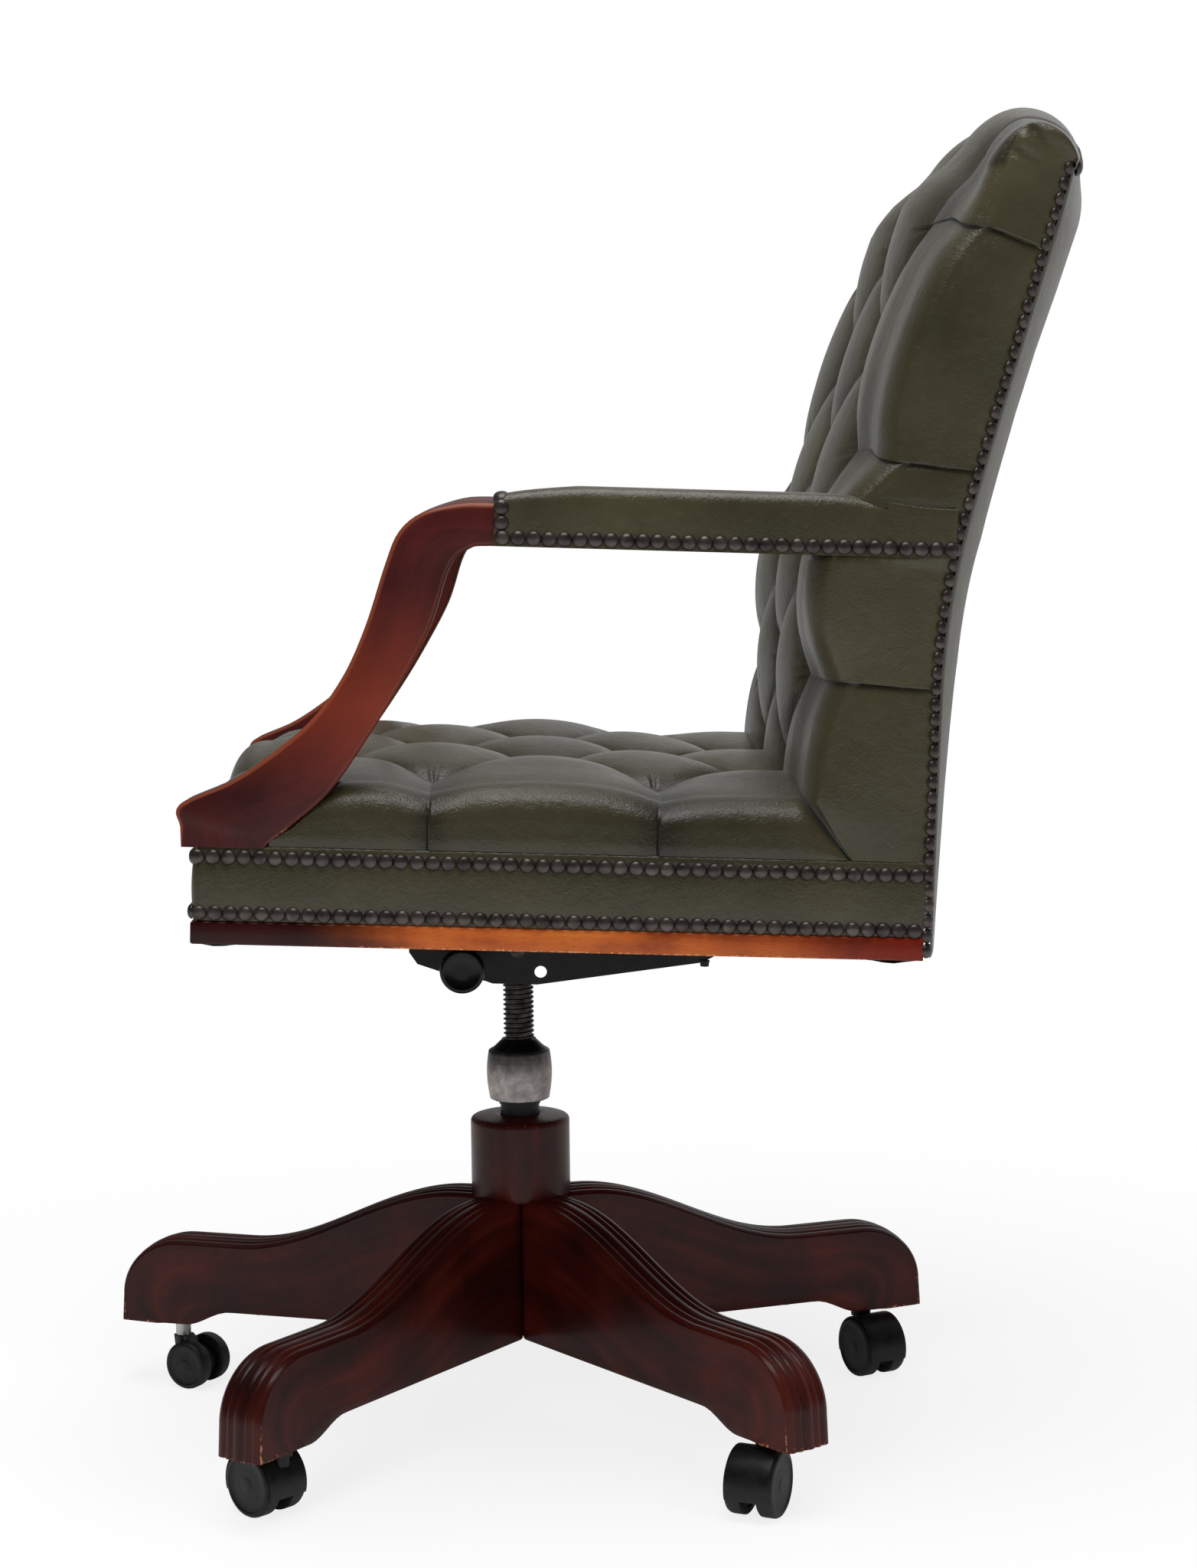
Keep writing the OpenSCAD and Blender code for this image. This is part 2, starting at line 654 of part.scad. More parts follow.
module stile_profile() {
    n = 10;
    zs = [for (k = [0 : n]) mix(rail_height, corner_height - crest, k / n)];
    polygon(concat([for (z = zs) [frame_front(z), z]], [for (k = [n : -1 : 0]) [frame_rear(zs[k]), zs[k]]]));
}

module back_stiles() {
    color("#c19a66") on_seat() for (side = [-1, 1])
        translate([side > 0 ? back_half - leather - stile_width : -back_half + leather, 0, 0])
            rotate([90, 0, 90]) linear_extrude(stile_width) stile_profile();
}

module back_rails() {
    inner = back_half - leather - stile_width;
    deep = 60;
    color("#c19a66") on_seat() {
        translate([-inner, frame_front(0), 96]) cube([2 * inner, back_frame, 50]);
        loft([for (k = [-12 : 12]) let (x = inner * k / 12, high = top_z(x) - crest - 0.4, low = high - deep)
            [[x, frame_rear(low), low], [x, frame_front(low), low], [x, frame_front(high), high],
                [x, frame_rear(high), high]]]);
    }
}

// Arms

arm_front = [[-seat_front - 9, 100], [-208, 118], [-176, 141], [-150, 165], [-129, 196], [-114, 232],
    [-101, 276], [-92, 299], [-76, 313], [-50, 320], [-24, 321]];
arm_rear = [[-24, arm_height], [-42, 288], [-55, 275], [-68, 232], [-90, 187.4], [-111, 151],
    [-137, 112], [-164, 86.6], [-190, rail_height]];

module arm_outline() {
    rail_top = arm_height + arm_rail;
    polygon(concat([[-seat_front - 5, rail_height]], curve(arm_front, 3), [[-24, rail_top],
        [frame_front(rail_top) - soft_gap, rail_top], [frame_front(arm_height) - soft_gap, arm_height]],
        curve(arm_rear, 3),
        [[-190, rail_height]]));
}

module arm(side) {
    color("#5a1f14") on_seat() translate([side > 0 ? seat_half - arm_thick : -seat_half, 0, 0])
        rotate([90, 0, 90]) linear_extrude(arm_thick) arm_outline();
}

pad_start = -24;
pad_end = frame_front(arm_height) - soft_gap;

// The pad wraps the rail: over the top from the outer to the inner edge, then back round the rail
function pad_ring(side, y) =
    let (low = arm_height, rail_top = arm_height + arm_rail, outer = seat_half + pad_skin,
        inner = outer - pad_width, half = (outer - inner) / 2, mid = (outer + inner) / 2,
        front = min(1, 0.35 + pow(max(0, (y - pad_start) / 60), 0.5)),
        top = rail_top + pad_top * (0.4 + 0.6 * front) - 12 * ease((y - 205) / 90))
    concat([[side * outer, y, low]],
        [for (a = [0 : 15 : 180]) let (c = cos(a))
            [side * (mid + half * sign(c) * pow(abs(c), 0.45)), y, mix(rail_top + 2, top, pow(sin(a), 0.6))]],
        [[side * inner, y, low], [side * (seat_half - arm_thick), y, low],
            [side * (seat_half - arm_thick), y, rail_top], [side * seat_half, y, rail_top],
            [side * seat_half, y, low]]);

module arm_pad(side) {
    ends = [[17, 18, 0, 1], [13, 14, 15, 16], concat([17], [for (j = [1 : 13]) j], [16])];
    stations = [pad_start, pad_start + 8, pad_start + 25, 40, 120, 200, 225, 250, pad_end];
    rings = [for (y = stations) pad_ring(side, y)];
    high = arm_height + arm_rail + 6;
    skin = seat_half + pad_skin - back_half - soft_gap;
    color("#3b3c28") on_seat() {
        loft(side > 0 ? rings : [for (i = [len(rings) - 1 : -1 : 0]) rings[i]], ends);
        translate([side > 0 ? back_half + soft_gap : -seat_half - pad_skin, 0, 0]) rotate([90, 0, 90])
            linear_extrude(skin) polygon([[frame_front(arm_height), arm_height],
                [rear_y(arm_height) - 1, arm_height], [rear_y(high) - 1, high],
                [frame_front(arm_top), high + 3], [frame_front(arm_top), arm_top]]);
    }
}

module arm_screws() {
    color("#7b7468") on_seat() for (side = [-1, 1]) {
        for (y = [-222, -204]) translate([side * (rail_out - rail_thick / 2), y, rail_height - 34])
            cylinder(d = 5, h = 50);
        for (z = [arm_height + 8, arm_height + 22])
            translate([side * (seat_half - arm_thick / 2), frame_front(z) - 34, z])
                rotate([-90, 0, 0]) cylinder(d = 5, h = 60);
    }
}

// Casters

module at_caster(k) {
    rotate([0, 0, first_leg + leg_step * (k - 1)]) translate([stem_reach, 0, 0])
        rotate([0, 0, caster_headings[k - 1] - first_leg - leg_step * (k - 1)]) children();
}

function wheel_size(k) = k == bare_caster ? bare_wheel_d : wheel_d;
function axle_z(k) = wheel_size(k) / 2;

module caster_hood(k) {
    r = wheel_size(k) / 2 + 3;
    color("#131314") at_caster(k) difference() {
        union() {
            translate([trail, 0, axle_z(k)]) rotate([90, 0, 0])
                cylinder(r = r, h = web_width, center = true);
            translate([trail, 0, axle_z(k)]) rotate([90, 0, 0]) difference() {
                cylinder(r = r, h = web_width + 1.5 * wheel_width, center = true);
                cylinder(r = r - 2.3, h = web_width + 2 * wheel_width, center = true);
            }
            translate([0, 0, axle_z(k) + 12]) cylinder(d = 17, h = leg_pad_z - axle_z(k) - 12.5);
        }
        translate([trail, 0, axle_z(k) - r]) cube([3 * r, 3 * web_width + 60, 2 * (r - 8)], center = true);
        translate([trail, 0, axle_z(k)]) rotate([90, 0, 0]) cylinder(d = axle_d, h = 60, center = true);
        cylinder(d = stem_d, h = 80);
        for (side = [-1, 1]) translate([trail, side * (web_width / 2 + 0.3 + wheel_width / 2), axle_z(k)])
            rotate([90, 0, 0]) cylinder(r = r - 2.3, h = wheel_width, center = true);
    }
}

module bare_fork(k) {
    drum_r = bare_wheel_d / 2 - 6.5;
    color("#18181a") at_caster(k) difference() {
        union() {
            translate([trail - 3, 0, axle_z(k)]) rotate([90, 0, 0])
                cylinder(r = drum_r, h = web_width + 4, center = true);
            translate([0, 0, axle_z(k)]) rotate([90, 0, 0]) linear_extrude(web_width, center = true)
                polygon([[-6, 22], [6, 22], [16, 12], [16, 0], [4, -6], [-4, 6]]);
            translate([0, 0, axle_z(k) + 8]) cylinder(d = 14, h = 14);
        }
        translate([trail - 3, 0, axle_z(k)]) rotate([90, 0, 0]) cylinder(d = axle_d, h = 60, center = true);
        cylinder(d = stem_d, h = 80);
    }
}

function axle_x(k) = k == bare_caster ? trail - 3 : trail;
function wheel_gap(k) = k == bare_caster ? 2 + face_gap : face_gap;
function wheel_wide(k) = k == bare_caster ? wheel_width - 4 : wheel_width;

module pins(k) {
    low = k == bare_caster ? axle_z(k) + 12 : axle_z(k) + 8;
    color("#a9a8a6") at_caster(k) {
        translate([0, 0, low]) cylinder(d = stem_d, h = leg_pad_z + socket_deep - 4 - low);
        translate([axle_x(k), 0, axle_z(k)]) rotate([90, 0, 0])
            cylinder(d = axle_d, h = web_width + 2 * (wheel_gap(k) + wheel_wide(k) - 3.5), center = true);
        if (k == bare_caster) translate([0, 0, axle_z(k) + 22]) cylinder(d = 13, h = 10);
    }
}

module wheel(k, side) {
    r = wheel_size(k) / 2;
    wide = wheel_wide(k);
    color("#0f0f10") at_caster(k) translate([axle_x(k), side * (web_width / 2 + wheel_gap(k)), axle_z(k)])
        rotate([-side * 90, 0, 0]) rotate_extrude() difference() {
            union() {
                square([r, wide - 3]);
                square([r - 3, wide]);
                translate([r - 3, wide - 3]) circle(r = 3);
            }
            translate([-1, -1]) square([axle_d / 2 + run_fit + 1, wide - 2]);
            translate([axle_d, -1]) square([r - axle_d - 5, 3]);
            translate([-1, wide - 1]) square([r - 3.5, 2]);
            translate([-r, -1]) square([r, wide + 3]);
        }
}

hub_column();
leg(1);  // leg_1
leg(2);  // leg_2
leg(3);  // leg_3
leg(4);  // leg_4
leg(5);  // leg_5
column_tube();
caster_sockets();
leg_plugs();
height_nut();
thrust_washer();
spindle();
spindle_head();
pivot_pin();
torsion_rubbers();
lock_knob();
lock_bolt();
tilt_bracket();
bracket_bolts();
cross_battens();
front_rail();
rear_rail();
side_rail(1);  // left_rail
side_rail(-1);  // right_rail
corner_blocks();
show_strips();
leather_bands();
seat_webbing();
seat_cushion();
arm(1);  // arm_left
arm(-1);  // arm_right
arm_pad(1);  // arm_pad_left
arm_pad(-1);  // arm_pad_right
arm_screws();
back_stiles();
back_rails();
back_cushion();
back_side_covers();
outside_back();
dust_cover();
caster_hood(1);  // hood_1
caster_hood(2);  // hood_2
caster_hood(3);  // hood_3
caster_hood(4);  // hood_4
bare_fork(5);  // hood_5
pins(1);  // pins_1
pins(2);  // pins_2
pins(3);  // pins_3
pins(4);  // pins_4
pins(5);  // pins_5
wheel(1, 1);  // wheel_1a
wheel(1, -1);  // wheel_1b
wheel(2, 1);  // wheel_2a
wheel(2, -1);  // wheel_2b
wheel(3, 1);  // wheel_3a
wheel(3, -1);  // wheel_3b
wheel(4, 1);  // wheel_4a
wheel(4, -1);  // wheel_4b
wheel(5, 1);  // wheel_5a
wheel(5, -1);  // wheel_5b
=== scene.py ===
import math

import bmesh
import bpy
import numpy as np
from mathutils import Matrix, Vector


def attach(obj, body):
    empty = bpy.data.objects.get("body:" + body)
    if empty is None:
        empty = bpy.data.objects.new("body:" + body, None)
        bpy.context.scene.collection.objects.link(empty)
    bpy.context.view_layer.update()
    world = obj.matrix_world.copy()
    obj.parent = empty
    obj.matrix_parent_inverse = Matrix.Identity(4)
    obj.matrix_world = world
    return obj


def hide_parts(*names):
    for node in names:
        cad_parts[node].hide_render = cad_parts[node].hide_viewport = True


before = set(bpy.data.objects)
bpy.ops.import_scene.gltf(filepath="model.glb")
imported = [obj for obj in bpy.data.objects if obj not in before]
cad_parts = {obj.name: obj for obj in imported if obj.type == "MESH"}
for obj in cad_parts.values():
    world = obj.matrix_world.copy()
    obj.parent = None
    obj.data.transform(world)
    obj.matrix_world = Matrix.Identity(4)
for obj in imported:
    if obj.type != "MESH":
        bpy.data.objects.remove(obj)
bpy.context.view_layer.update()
scene = bpy.context.scene

# Camera
# The chair is seen square from its left side, a little from above, through a long lens.
# It stands level with the back's middle, 2.35 m from the column.
heading, down_tilt, lean = math.radians(-1.5673), math.radians(5.4397), math.radians(-0.6814)
look = Vector((-math.cos(heading) * math.cos(down_tilt), -math.sin(heading) * math.cos(down_tilt),
               -math.sin(down_tilt)))
level = look.cross(Vector((0, 0, 1))).normalized()
above = level.cross(look)
right = level * math.cos(lean) + above * math.sin(lean)
upward = above * math.cos(lean) - level * math.sin(lean)
camera_data = bpy.data.cameras.new("camera")
camera_data.sensor_width = 36
camera_data.lens = 65.93
camera = bpy.data.objects.new("camera", camera_data)
camera.matrix_world = Matrix.Translation((2.34973, 0.00417, 0.74882)) @ Matrix(
    (right, upward, -look)).transposed().to_4x4()
scene.collection.objects.link(camera)
scene.camera = camera


# Star base
# Five legs of mahogany, bandsawn to an S and worked with a moulding plane: five reeds run down the top and
# over the nose. They meet under the hub, stained almost black-brown and polished.
def ease(t):
    return (1 - np.cos(np.pi * np.clip(t, 0, 1))) / 2


def mix(a, b, t):
    return a + (b - a) * t


def linear(shade):
    parts = [int(shade[i:i + 2], 16) / 255 for i in (1, 3, 5)]
    return tuple(c / 12.92 if c <= 0.04045 else ((c + 0.055) / 1.055) ** 2.4 for c in parts) + (1.0,)


def add(material, kind, sockets={}, stops=(), **settings):
    # adds a node with its settings and links; a string stands for an sRGB colour
    made = material.node_tree.nodes.new("ShaderNode" + kind)
    for name, value in settings.items():
        setattr(made, name, value)
    for name, value in sockets.items():
        if isinstance(value, bpy.types.NodeSocket):
            material.node_tree.links.new(value, made.inputs[name])
        else:
            made.inputs[name].default_value = linear(value) if isinstance(value, str) else value
    for k, (place, shade) in enumerate(stops):
        ramp = made.color_ramp.elements
        stop = ramp[k] if k < 2 else ramp.new(place)
        stop.position = place
        stop.color = linear(shade) if isinstance(shade, str) else (shade, shade, shade, 1)
    return made


def surface(name):
    material = bpy.data.materials.new(name)
    material.use_nodes = True
    material.node_tree.nodes.clear()
    return material


def finish(material, sockets):
    shader = add(material, "BsdfPrincipled", sockets)
    add(material, "OutputMaterial", {"Surface": shader.outputs[0]})
    return material


# Mahogany, stained and French polished: fine open pores along the grain, slow bands of tone across it, a
# thin gloss on top, and pale bruises where the edges are knocked. The grain lies in the UV map, in metres.
def polished_mahogany(name, dark, middle, light, bruise, gloss, coat):
    wood = surface(name)
    grain = add(wood, "UVMap", uv_map="grain").outputs[0]
    # bands of tone 18 mm wide and 250 mm long
    bands = add(wood, "TexNoise", {"Scale": 1.0, "Detail": 3.0, "Distortion": 0.4, "Vector": add(
        wood, "Mapping", {"Vector": grain, "Scale": (4, 55, 1)}).outputs[0]})
    # pores 0.8 mm wide and 9 mm long, coarser than the real 0.2 mm so that they show
    pores = add(wood, "TexNoise", {"Scale": 1.0, "Detail": 2.0, "Vector": add(
        wood, "Mapping", {"Vector": grain, "Scale": (110, 1250, 1)}).outputs[0]})
    body = add(wood, "TexCoord").outputs["Object"]
    # cloudy patches 70 mm across
    patches = add(wood, "TexNoise", {"Scale": 14.0, "Detail": 5.0, "Vector": body})
    tone = add(wood, "Math", {0: bands.outputs[0], 1: patches.outputs[0]}, operation="ADD")
    tone = add(wood, "Math", {0: tone.outputs[0], 1: 0.5}, operation="MULTIPLY")
    colour = add(wood, "ValToRGB", {"Fac": tone.outputs[0]}, stops=((0.36, dark), (0.64, light), (0.5, middle)))
    lines = add(wood, "ValToRGB", {"Fac": pores.outputs[0]}, stops=((0.34, 0.55), (0.48, 1.0)))
    colour = add(wood, "MixRGB", {"Fac": 0.55, "Color1": colour.outputs[0], "Color2": lines.outputs[0]},
                 blend_type="MULTIPLY")
    # knocks: where the piece's wear attribute is high, broken up by 3 mm spots
    spots = add(wood, "TexNoise", {"Scale": 330.0, "Detail": 4.0, "Vector": body})
    worn = add(wood, "Attribute", attribute_name="wear")
    knock = add(wood, "Math", {0: worn.outputs["Fac"], 1: spots.outputs[0]}, operation="MULTIPLY")
    knock = add(wood, "ValToRGB", {"Fac": knock.outputs[0]}, stops=((0.34, 0.0), (0.46, 1.0)))
    colour = add(wood, "MixRGB", {"Fac": knock.outputs[0], "Color1": colour.outputs[0], "Color2": bruise})
    shine = add(wood, "MapRange", {"Value": patches.outputs[0], "To Min": gloss - 0.07, "To Max": gloss + 0.13})
    relief = add(wood, "Bump", {"Strength": 0.25, "Distance": 0.0003, "Height": lines.outputs[0]})
    return finish(wood, {"Base Color": colour.outputs[0], "Roughness": shine.outputs[0], "IOR": 1.5,
                         "Specular IOR Level": 0.16, "Coat Weight": coat, "Coat Roughness": 0.12,
                         "Normal": relief.outputs[0]})


leg_mahogany = polished_mahogany("leg_mahogany", "#1a0503", "#2d0a06", "#43130b", "#a06a4c", 0.3, 0.08)


def grid(rows, columns, closed=False):
    last = columns if closed else columns - 1
    return [(i * columns + j, i * columns + (j + 1) % columns, (i + 1) * columns + (j + 1) % columns,
             (i + 1) * columns + j) for i in range(rows - 1) for j in range(last)]


def capped(rows, columns):
    ends = [tuple(range(columns)), tuple(range((rows - 1) * columns, rows * columns))]
    return grid(rows, columns, closed=True) + ends


def turned_round(points, angle):
    c, s = math.cos(angle), math.sin(angle)
    return np.column_stack([points[:, 0] * c - points[:, 1] * s, points[:, 0] * s + points[:, 1] * c, points[:, 2]])


def leg_turn(k):
    return math.radians(-36 + 72 * (k - 1))


def make(name, points, faces, material, body, sharp=None, grain=None, marks={}):
    mesh = bpy.data.meshes.new(name)
    mesh.from_pydata([tuple(map(float, p)) for p in points], [], [tuple(map(int, f)) for f in faces])
    shaping = bmesh.new()
    shaping.from_mesh(mesh)
    bmesh.ops.recalc_face_normals(shaping, faces=shaping.faces)
    shaping.to_mesh(mesh)
    shaping.free()
    mesh.shade_smooth()
    if sharp:
        mesh.set_sharp_from_angle(angle=math.radians(sharp))
    if grain is not None:
        corners = np.zeros(len(mesh.loops), dtype=int)
        mesh.loops.foreach_get("vertex_index", corners)
        mesh.uv_layers.new(name="grain").data.foreach_set("uv", np.asarray(grain, float)[corners].ravel())
    for key, values in marks.items():
        mesh.attributes.new(key, "FLOAT", "POINT").data.foreach_set("value", np.asarray(values, float))
    mesh.materials.append(material)
    made = bpy.data.objects.new(name, mesh)
    scene.collection.objects.link(made)
    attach(made, body)
    return made


leg_reach, leg_wide, hub_z, shelf_z, foot_z = 357, 41, 183, 126.5, 56
root_r, fall_run, nose_long, nose_high = 50, 198, 52, 47
reed_widths = [8.5, 6.5, 11, 6.5, 8.5]
reed_edges = np.concatenate([[0], np.cumsum(reed_widths)]) / sum(reed_widths)
moulding = [(-0.5, -2.2), (-0.5, -0.6), (-0.485, 0)]
for low, high in zip(reed_edges[:-1], reed_edges[1:]):
    for t in np.linspace(0.04, 0.96, 9):
        s = low + (high - low) * t - 0.5
        moulding.append((s, 2.2 * (1 - (2 * s) ** 2) + 1.7 * math.sin(math.pi * t) ** 0.75))
moulding += [(0.485, 0), (0.5, -0.6), (0.5, -2.2)]
stations = []
# each station: the top's reach and height, the slope that the moulding stands square to, the underside's reach
for r in np.linspace(16, root_r, 8):
    stations.append((r, hub_z, 90, r))
for t in np.linspace(0.04, 1, 34):
    fall = math.atan((hub_z - shelf_z) * 0.5 * math.pi * math.sin(math.pi * t) / fall_run)
    r = root_r + fall_run * t
    stations.append((r, mix(hub_z, shelf_z, ease(t)), 90 - math.degrees(fall), r))
for t in np.linspace(0.2, 1, 5):
    stations.append((root_r + fall_run + 55 * t, shelf_z, 90, root_r + fall_run + 34 * t))
for a in range(85, -1, -5):
    turn = math.radians(a)
    square = math.degrees(math.atan2(math.sin(turn) / nose_high, math.cos(turn) / nose_long))
    stations.append((leg_reach - 2 + nose_long * (math.cos(turn) - 1), shelf_z + nose_high * (math.sin(turn) - 1),
                     square, 282 + 0.4 * (90 - a)))
for t in np.linspace(0.2, 1, 5):
    stations.append((leg_reach - 2 + 1.5 * t, mix(shelf_z - nose_high, foot_z + 1, t), 0, mix(318, 325, t)))
leg_points, leg_grain, leg_wear = [], [], []
along = 0
for k, (r, z, slope, below) in enumerate(stations):
    half = min(leg_wide / 2, r * math.tan(math.radians(36)))
    under = mix(69, foot_z, ease((below - 258) / 42))
    cs, sn = math.cos(math.radians(slope)), math.sin(math.radians(slope))
    if k:
        along += math.hypot(r - stations[k - 1][0], z - stations[k - 1][1])
    ring = [(r + m * cs, s * 2 * half, z + m * sn) for s, m in moulding]
    sides = [(mix(r, below, t), mix(z, under, t)) for t in (0.12, 0.35, 0.62, 0.86, 0.975)]
    ring += [(a, half, b) for a, b in sides] + [(below, half - 0.5, under + 0.5), (below, half - 2, under)]
    ring += [(below, 2 - half, under), (below, 0.5 - half, under + 0.5)] + [(a, -half, b) for a, b in sides[::-1]]
    leg_points += ring
    outer = float(ease((k - len(stations) + 14) / 10))
    for j, (a, y, b) in enumerate(ring):
        leg_grain.append((along / 1000, (y if j < len(moulding) else y + (z - b)) / 1000))
        corner = j in (1, 2, len(moulding) - 3, len(moulding) - 2) or (b < foot_z + 3 and k > len(stations) - 4)
        leg_wear.append(0.3 + (0.4 if corner else 0.16 * (j < len(moulding))) * outer)
count = len(moulding) + 14
leg_points = np.array(leg_points)
leg_faces = capped(len(stations), count)
for k in range(1, 6):
    leg = make(f"reeded_leg_{k}", turned_round(leg_points, leg_turn(k)) / 1000, leg_faces, leg_mahogany, "base",
               sharp=33, grain=np.array(leg_grain) + (k * 0.37, k * 0.21), marks={"wear": leg_wear})
    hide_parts(f"leg_{k}")


# Hub
# The turned boss that the legs are dowelled to, of the same mahogany. Its top edge is rounded over and the
# column tube comes up through its middle.
def turn_profile(profile, steps):
    angles = np.linspace(0, 2 * np.pi, steps, endpoint=False)
    points = [(r * math.cos(a), r * math.sin(a), z) for r, z in profile for a in angles]
    return np.array(points), grid(len(profile), steps, closed=True)


hub_profile = [(16.2, 251.4), (17.4, 252), (22, 251.8), (30, 251), (37.2, 250.2), (39, 249.6), (40.3, 248.5),
               (40.9, 247), (41, 245), (41, 232), (41, 216), (41, 200), (41, 188), (40.8, 185), (39.8, 183.6),
               (28.4, 182.8), (28, 176)]
points, faces = turn_profile(hub_profile, 96)
angle = np.arctan2(points[:, 1], points[:, 0])
hub = make("turned_hub", points / 1000, faces, leg_mahogany, "base", sharp=55,
           grain=np.column_stack([points[:, 2] / 1000, angle * 0.041]),
           marks={"wear": np.where(points[:, 2] > 246, 0.55, 0.3)})
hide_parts("hub_column")


# Column tube, sockets and plugs
# The steel tube through the hub is stove enamelled black; each leg has a pressed zinc-plated socket for its
# caster's stem, and two turned plugs under it that hide the bolts.
def enamelled_steel():
    # Black stove enamel on pressed steel: even satin black, a faint orange peel 1.4 mm wide, and grey rubbed
    # patches 17 mm wide.
    steel = surface("enamelled_steel")
    place = add(steel, "TexCoord").outputs["Object"]
    rub = add(steel, "TexNoise", {"Scale": 60.0, "Detail": 6.0, "Vector": place})
    tone = add(steel, "ValToRGB", {"Fac": rub.outputs[0]}, stops=((0.35, "#0a090b"), (0.72, "#1d1b1d")))
    shine = add(steel, "MapRange", {"Value": rub.outputs[0], "To Min": 0.28, "To Max": 0.52})
    peel = add(steel, "TexNoise", {"Scale": 700.0, "Detail": 1.0, "Vector": place})
    relief = add(steel, "Bump", {"Strength": 0.12, "Distance": 0.0004, "Height": peel.outputs[0]})
    return finish(steel, {"Base Color": tone.outputs[0], "Roughness": shine.outputs[0], "IOR": 1.5,
                          "Specular IOR Level": 0.2, "Normal": relief.outputs[0]})


def plated_steel():
    # Zinc-plated steel: bright cool grey metal, slightly cloudy in patches 11 mm wide.
    steel = surface("zinc_plated_steel")
    place = add(steel, "TexCoord").outputs["Object"]
    cloud = add(steel, "TexNoise", {"Scale": 90.0, "Detail": 4.0, "Vector": place})
    tone = add(steel, "ValToRGB", {"Fac": cloud.outputs[0]}, stops=((0.3, "#8f8f8c"), (0.7, "#b9b9b6")))
    shine = add(steel, "MapRange", {"Value": cloud.outputs[0], "To Min": 0.22, "To Max": 0.42})
    return finish(steel, {"Base Color": tone.outputs[0], "Metallic": 1.0, "Roughness": shine.outputs[0]})


def dress(node, material, bevel=0.0):
    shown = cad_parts[node]
    shown.data.materials.clear()
    shown.data.materials.append(material)
    if bevel:
        edge = shown.modifiers.new("edge", "BEVEL")
        edge.width = bevel
        edge.segments = 2
        edge.limit_method = "ANGLE"
        edge.angle_limit = math.radians(50)
        edge.harden_normals = True


black_enamel = enamelled_steel()
zinc_plate = plated_steel()
dress("column_tube", black_enamel)
dress("caster_sockets", zinc_plate, 0.0003)
# Beech stained to match the legs: matt, nearly black-brown, with a 5 mm fleck.
plug_wood = surface("stained_beech_plug")
plug_tone = add(plug_wood, "ValToRGB", {"Fac": add(plug_wood, "TexNoise", {
    "Scale": 200.0, "Vector": add(plug_wood, "TexCoord").outputs["Object"]}).outputs[0]},
    stops=((0.35, "#1a0806"), (0.7, "#33130d")))
finish(plug_wood, {"Base Color": plug_tone.outputs[0], "Roughness": 0.5})
dress("leg_plugs", plug_wood, 0.0004)


# Casters
# Four hooded twin-wheel casters of moulded black nylon on plated stems, and one replacement without a hood.
# The hood is a shell over both wheels; the wheels are slightly domed discs with a rounded tread.
def moulded_nylon(name, dark, light, rough):
    # Injection-moulded nylon: near black, satin from the mould's 0.7 mm grain, scuffed grey in 6 mm patches.
    nylon = surface(name)
    place = add(nylon, "TexCoord").outputs["Object"]
    scuff = add(nylon, "TexNoise", {"Scale": 160.0, "Detail": 6.0, "Vector": place})
    tone = add(nylon, "ValToRGB", {"Fac": scuff.outputs[0]}, stops=((0.42, dark), (0.74, light)))
    mould = add(nylon, "TexVoronoi", {"Scale": 1400.0, "Vector": place})
    relief = add(nylon, "Bump", {"Strength": 0.15, "Distance": 0.0003, "Height": mould.outputs[0]})
    shine = add(nylon, "MapRange", {"Value": scuff.outputs[0], "To Min": rough - 0.08, "To Max": rough + 0.12})
    return finish(nylon, {"Base Color": tone.outputs[0], "Roughness": shine.outputs[0], "IOR": 1.53,
                          "Specular IOR Level": 0.3, "Normal": relief.outputs[0]})


hood_nylon = moulded_nylon("hood_nylon", "#060606", "#121112", 0.4)
wheel_nylon = moulded_nylon("wheel_nylon", "#070707", "#1b1a1b", 0.48)
headings = [225, -26, 26, 150, 60]
stem_reach = 310


def at_caster(k, points):
    stem = (stem_reach * math.cos(leg_turn(k)), stem_reach * math.sin(leg_turn(k)), 0)
    return (turned_round(points, math.radians(headings[k - 1])) + stem) / 1000


def on_axle(profile, steps, x, z, low=None):
    # turns a profile (radius, place along the axle) round the axle, and cuts off what lies under a height
    points, faces = turn_profile(profile, steps)
    points = np.column_stack([points[:, 0] + x, points[:, 2], points[:, 1] + z])
    if low is None:
        return points, faces
    cut = bmesh.new()
    made = [cut.verts.new(p) for p in points]
    for f in faces:
        cut.faces.new([made[i] for i in f])
    bmesh.ops.remove_doubles(cut, verts=cut.verts[:], dist=0.001)
    both = cut.verts[:] + cut.edges[:] + cut.faces[:]
    bmesh.ops.bisect_plane(cut, geom=both, plane_co=(0, 0, low), plane_no=(0, 0, -1), clear_outer=True)
    bmesh.ops.holes_fill(cut, edges=[e for e in cut.edges if e.is_boundary])
    cut.verts.index_update()
    out = np.array([tuple(v.co) for v in cut.verts]), [tuple(v.index for v in f.verts) for f in cut.faces]
    cut.free()
    return out


def together(parts):
    points, faces, start = [], [], 0
    for some, made in parts:
        points.append(np.asarray(some, float))
        faces += [tuple(i + start for i in f) for f in made]
        start += len(some)
    return np.vstack(points), faces


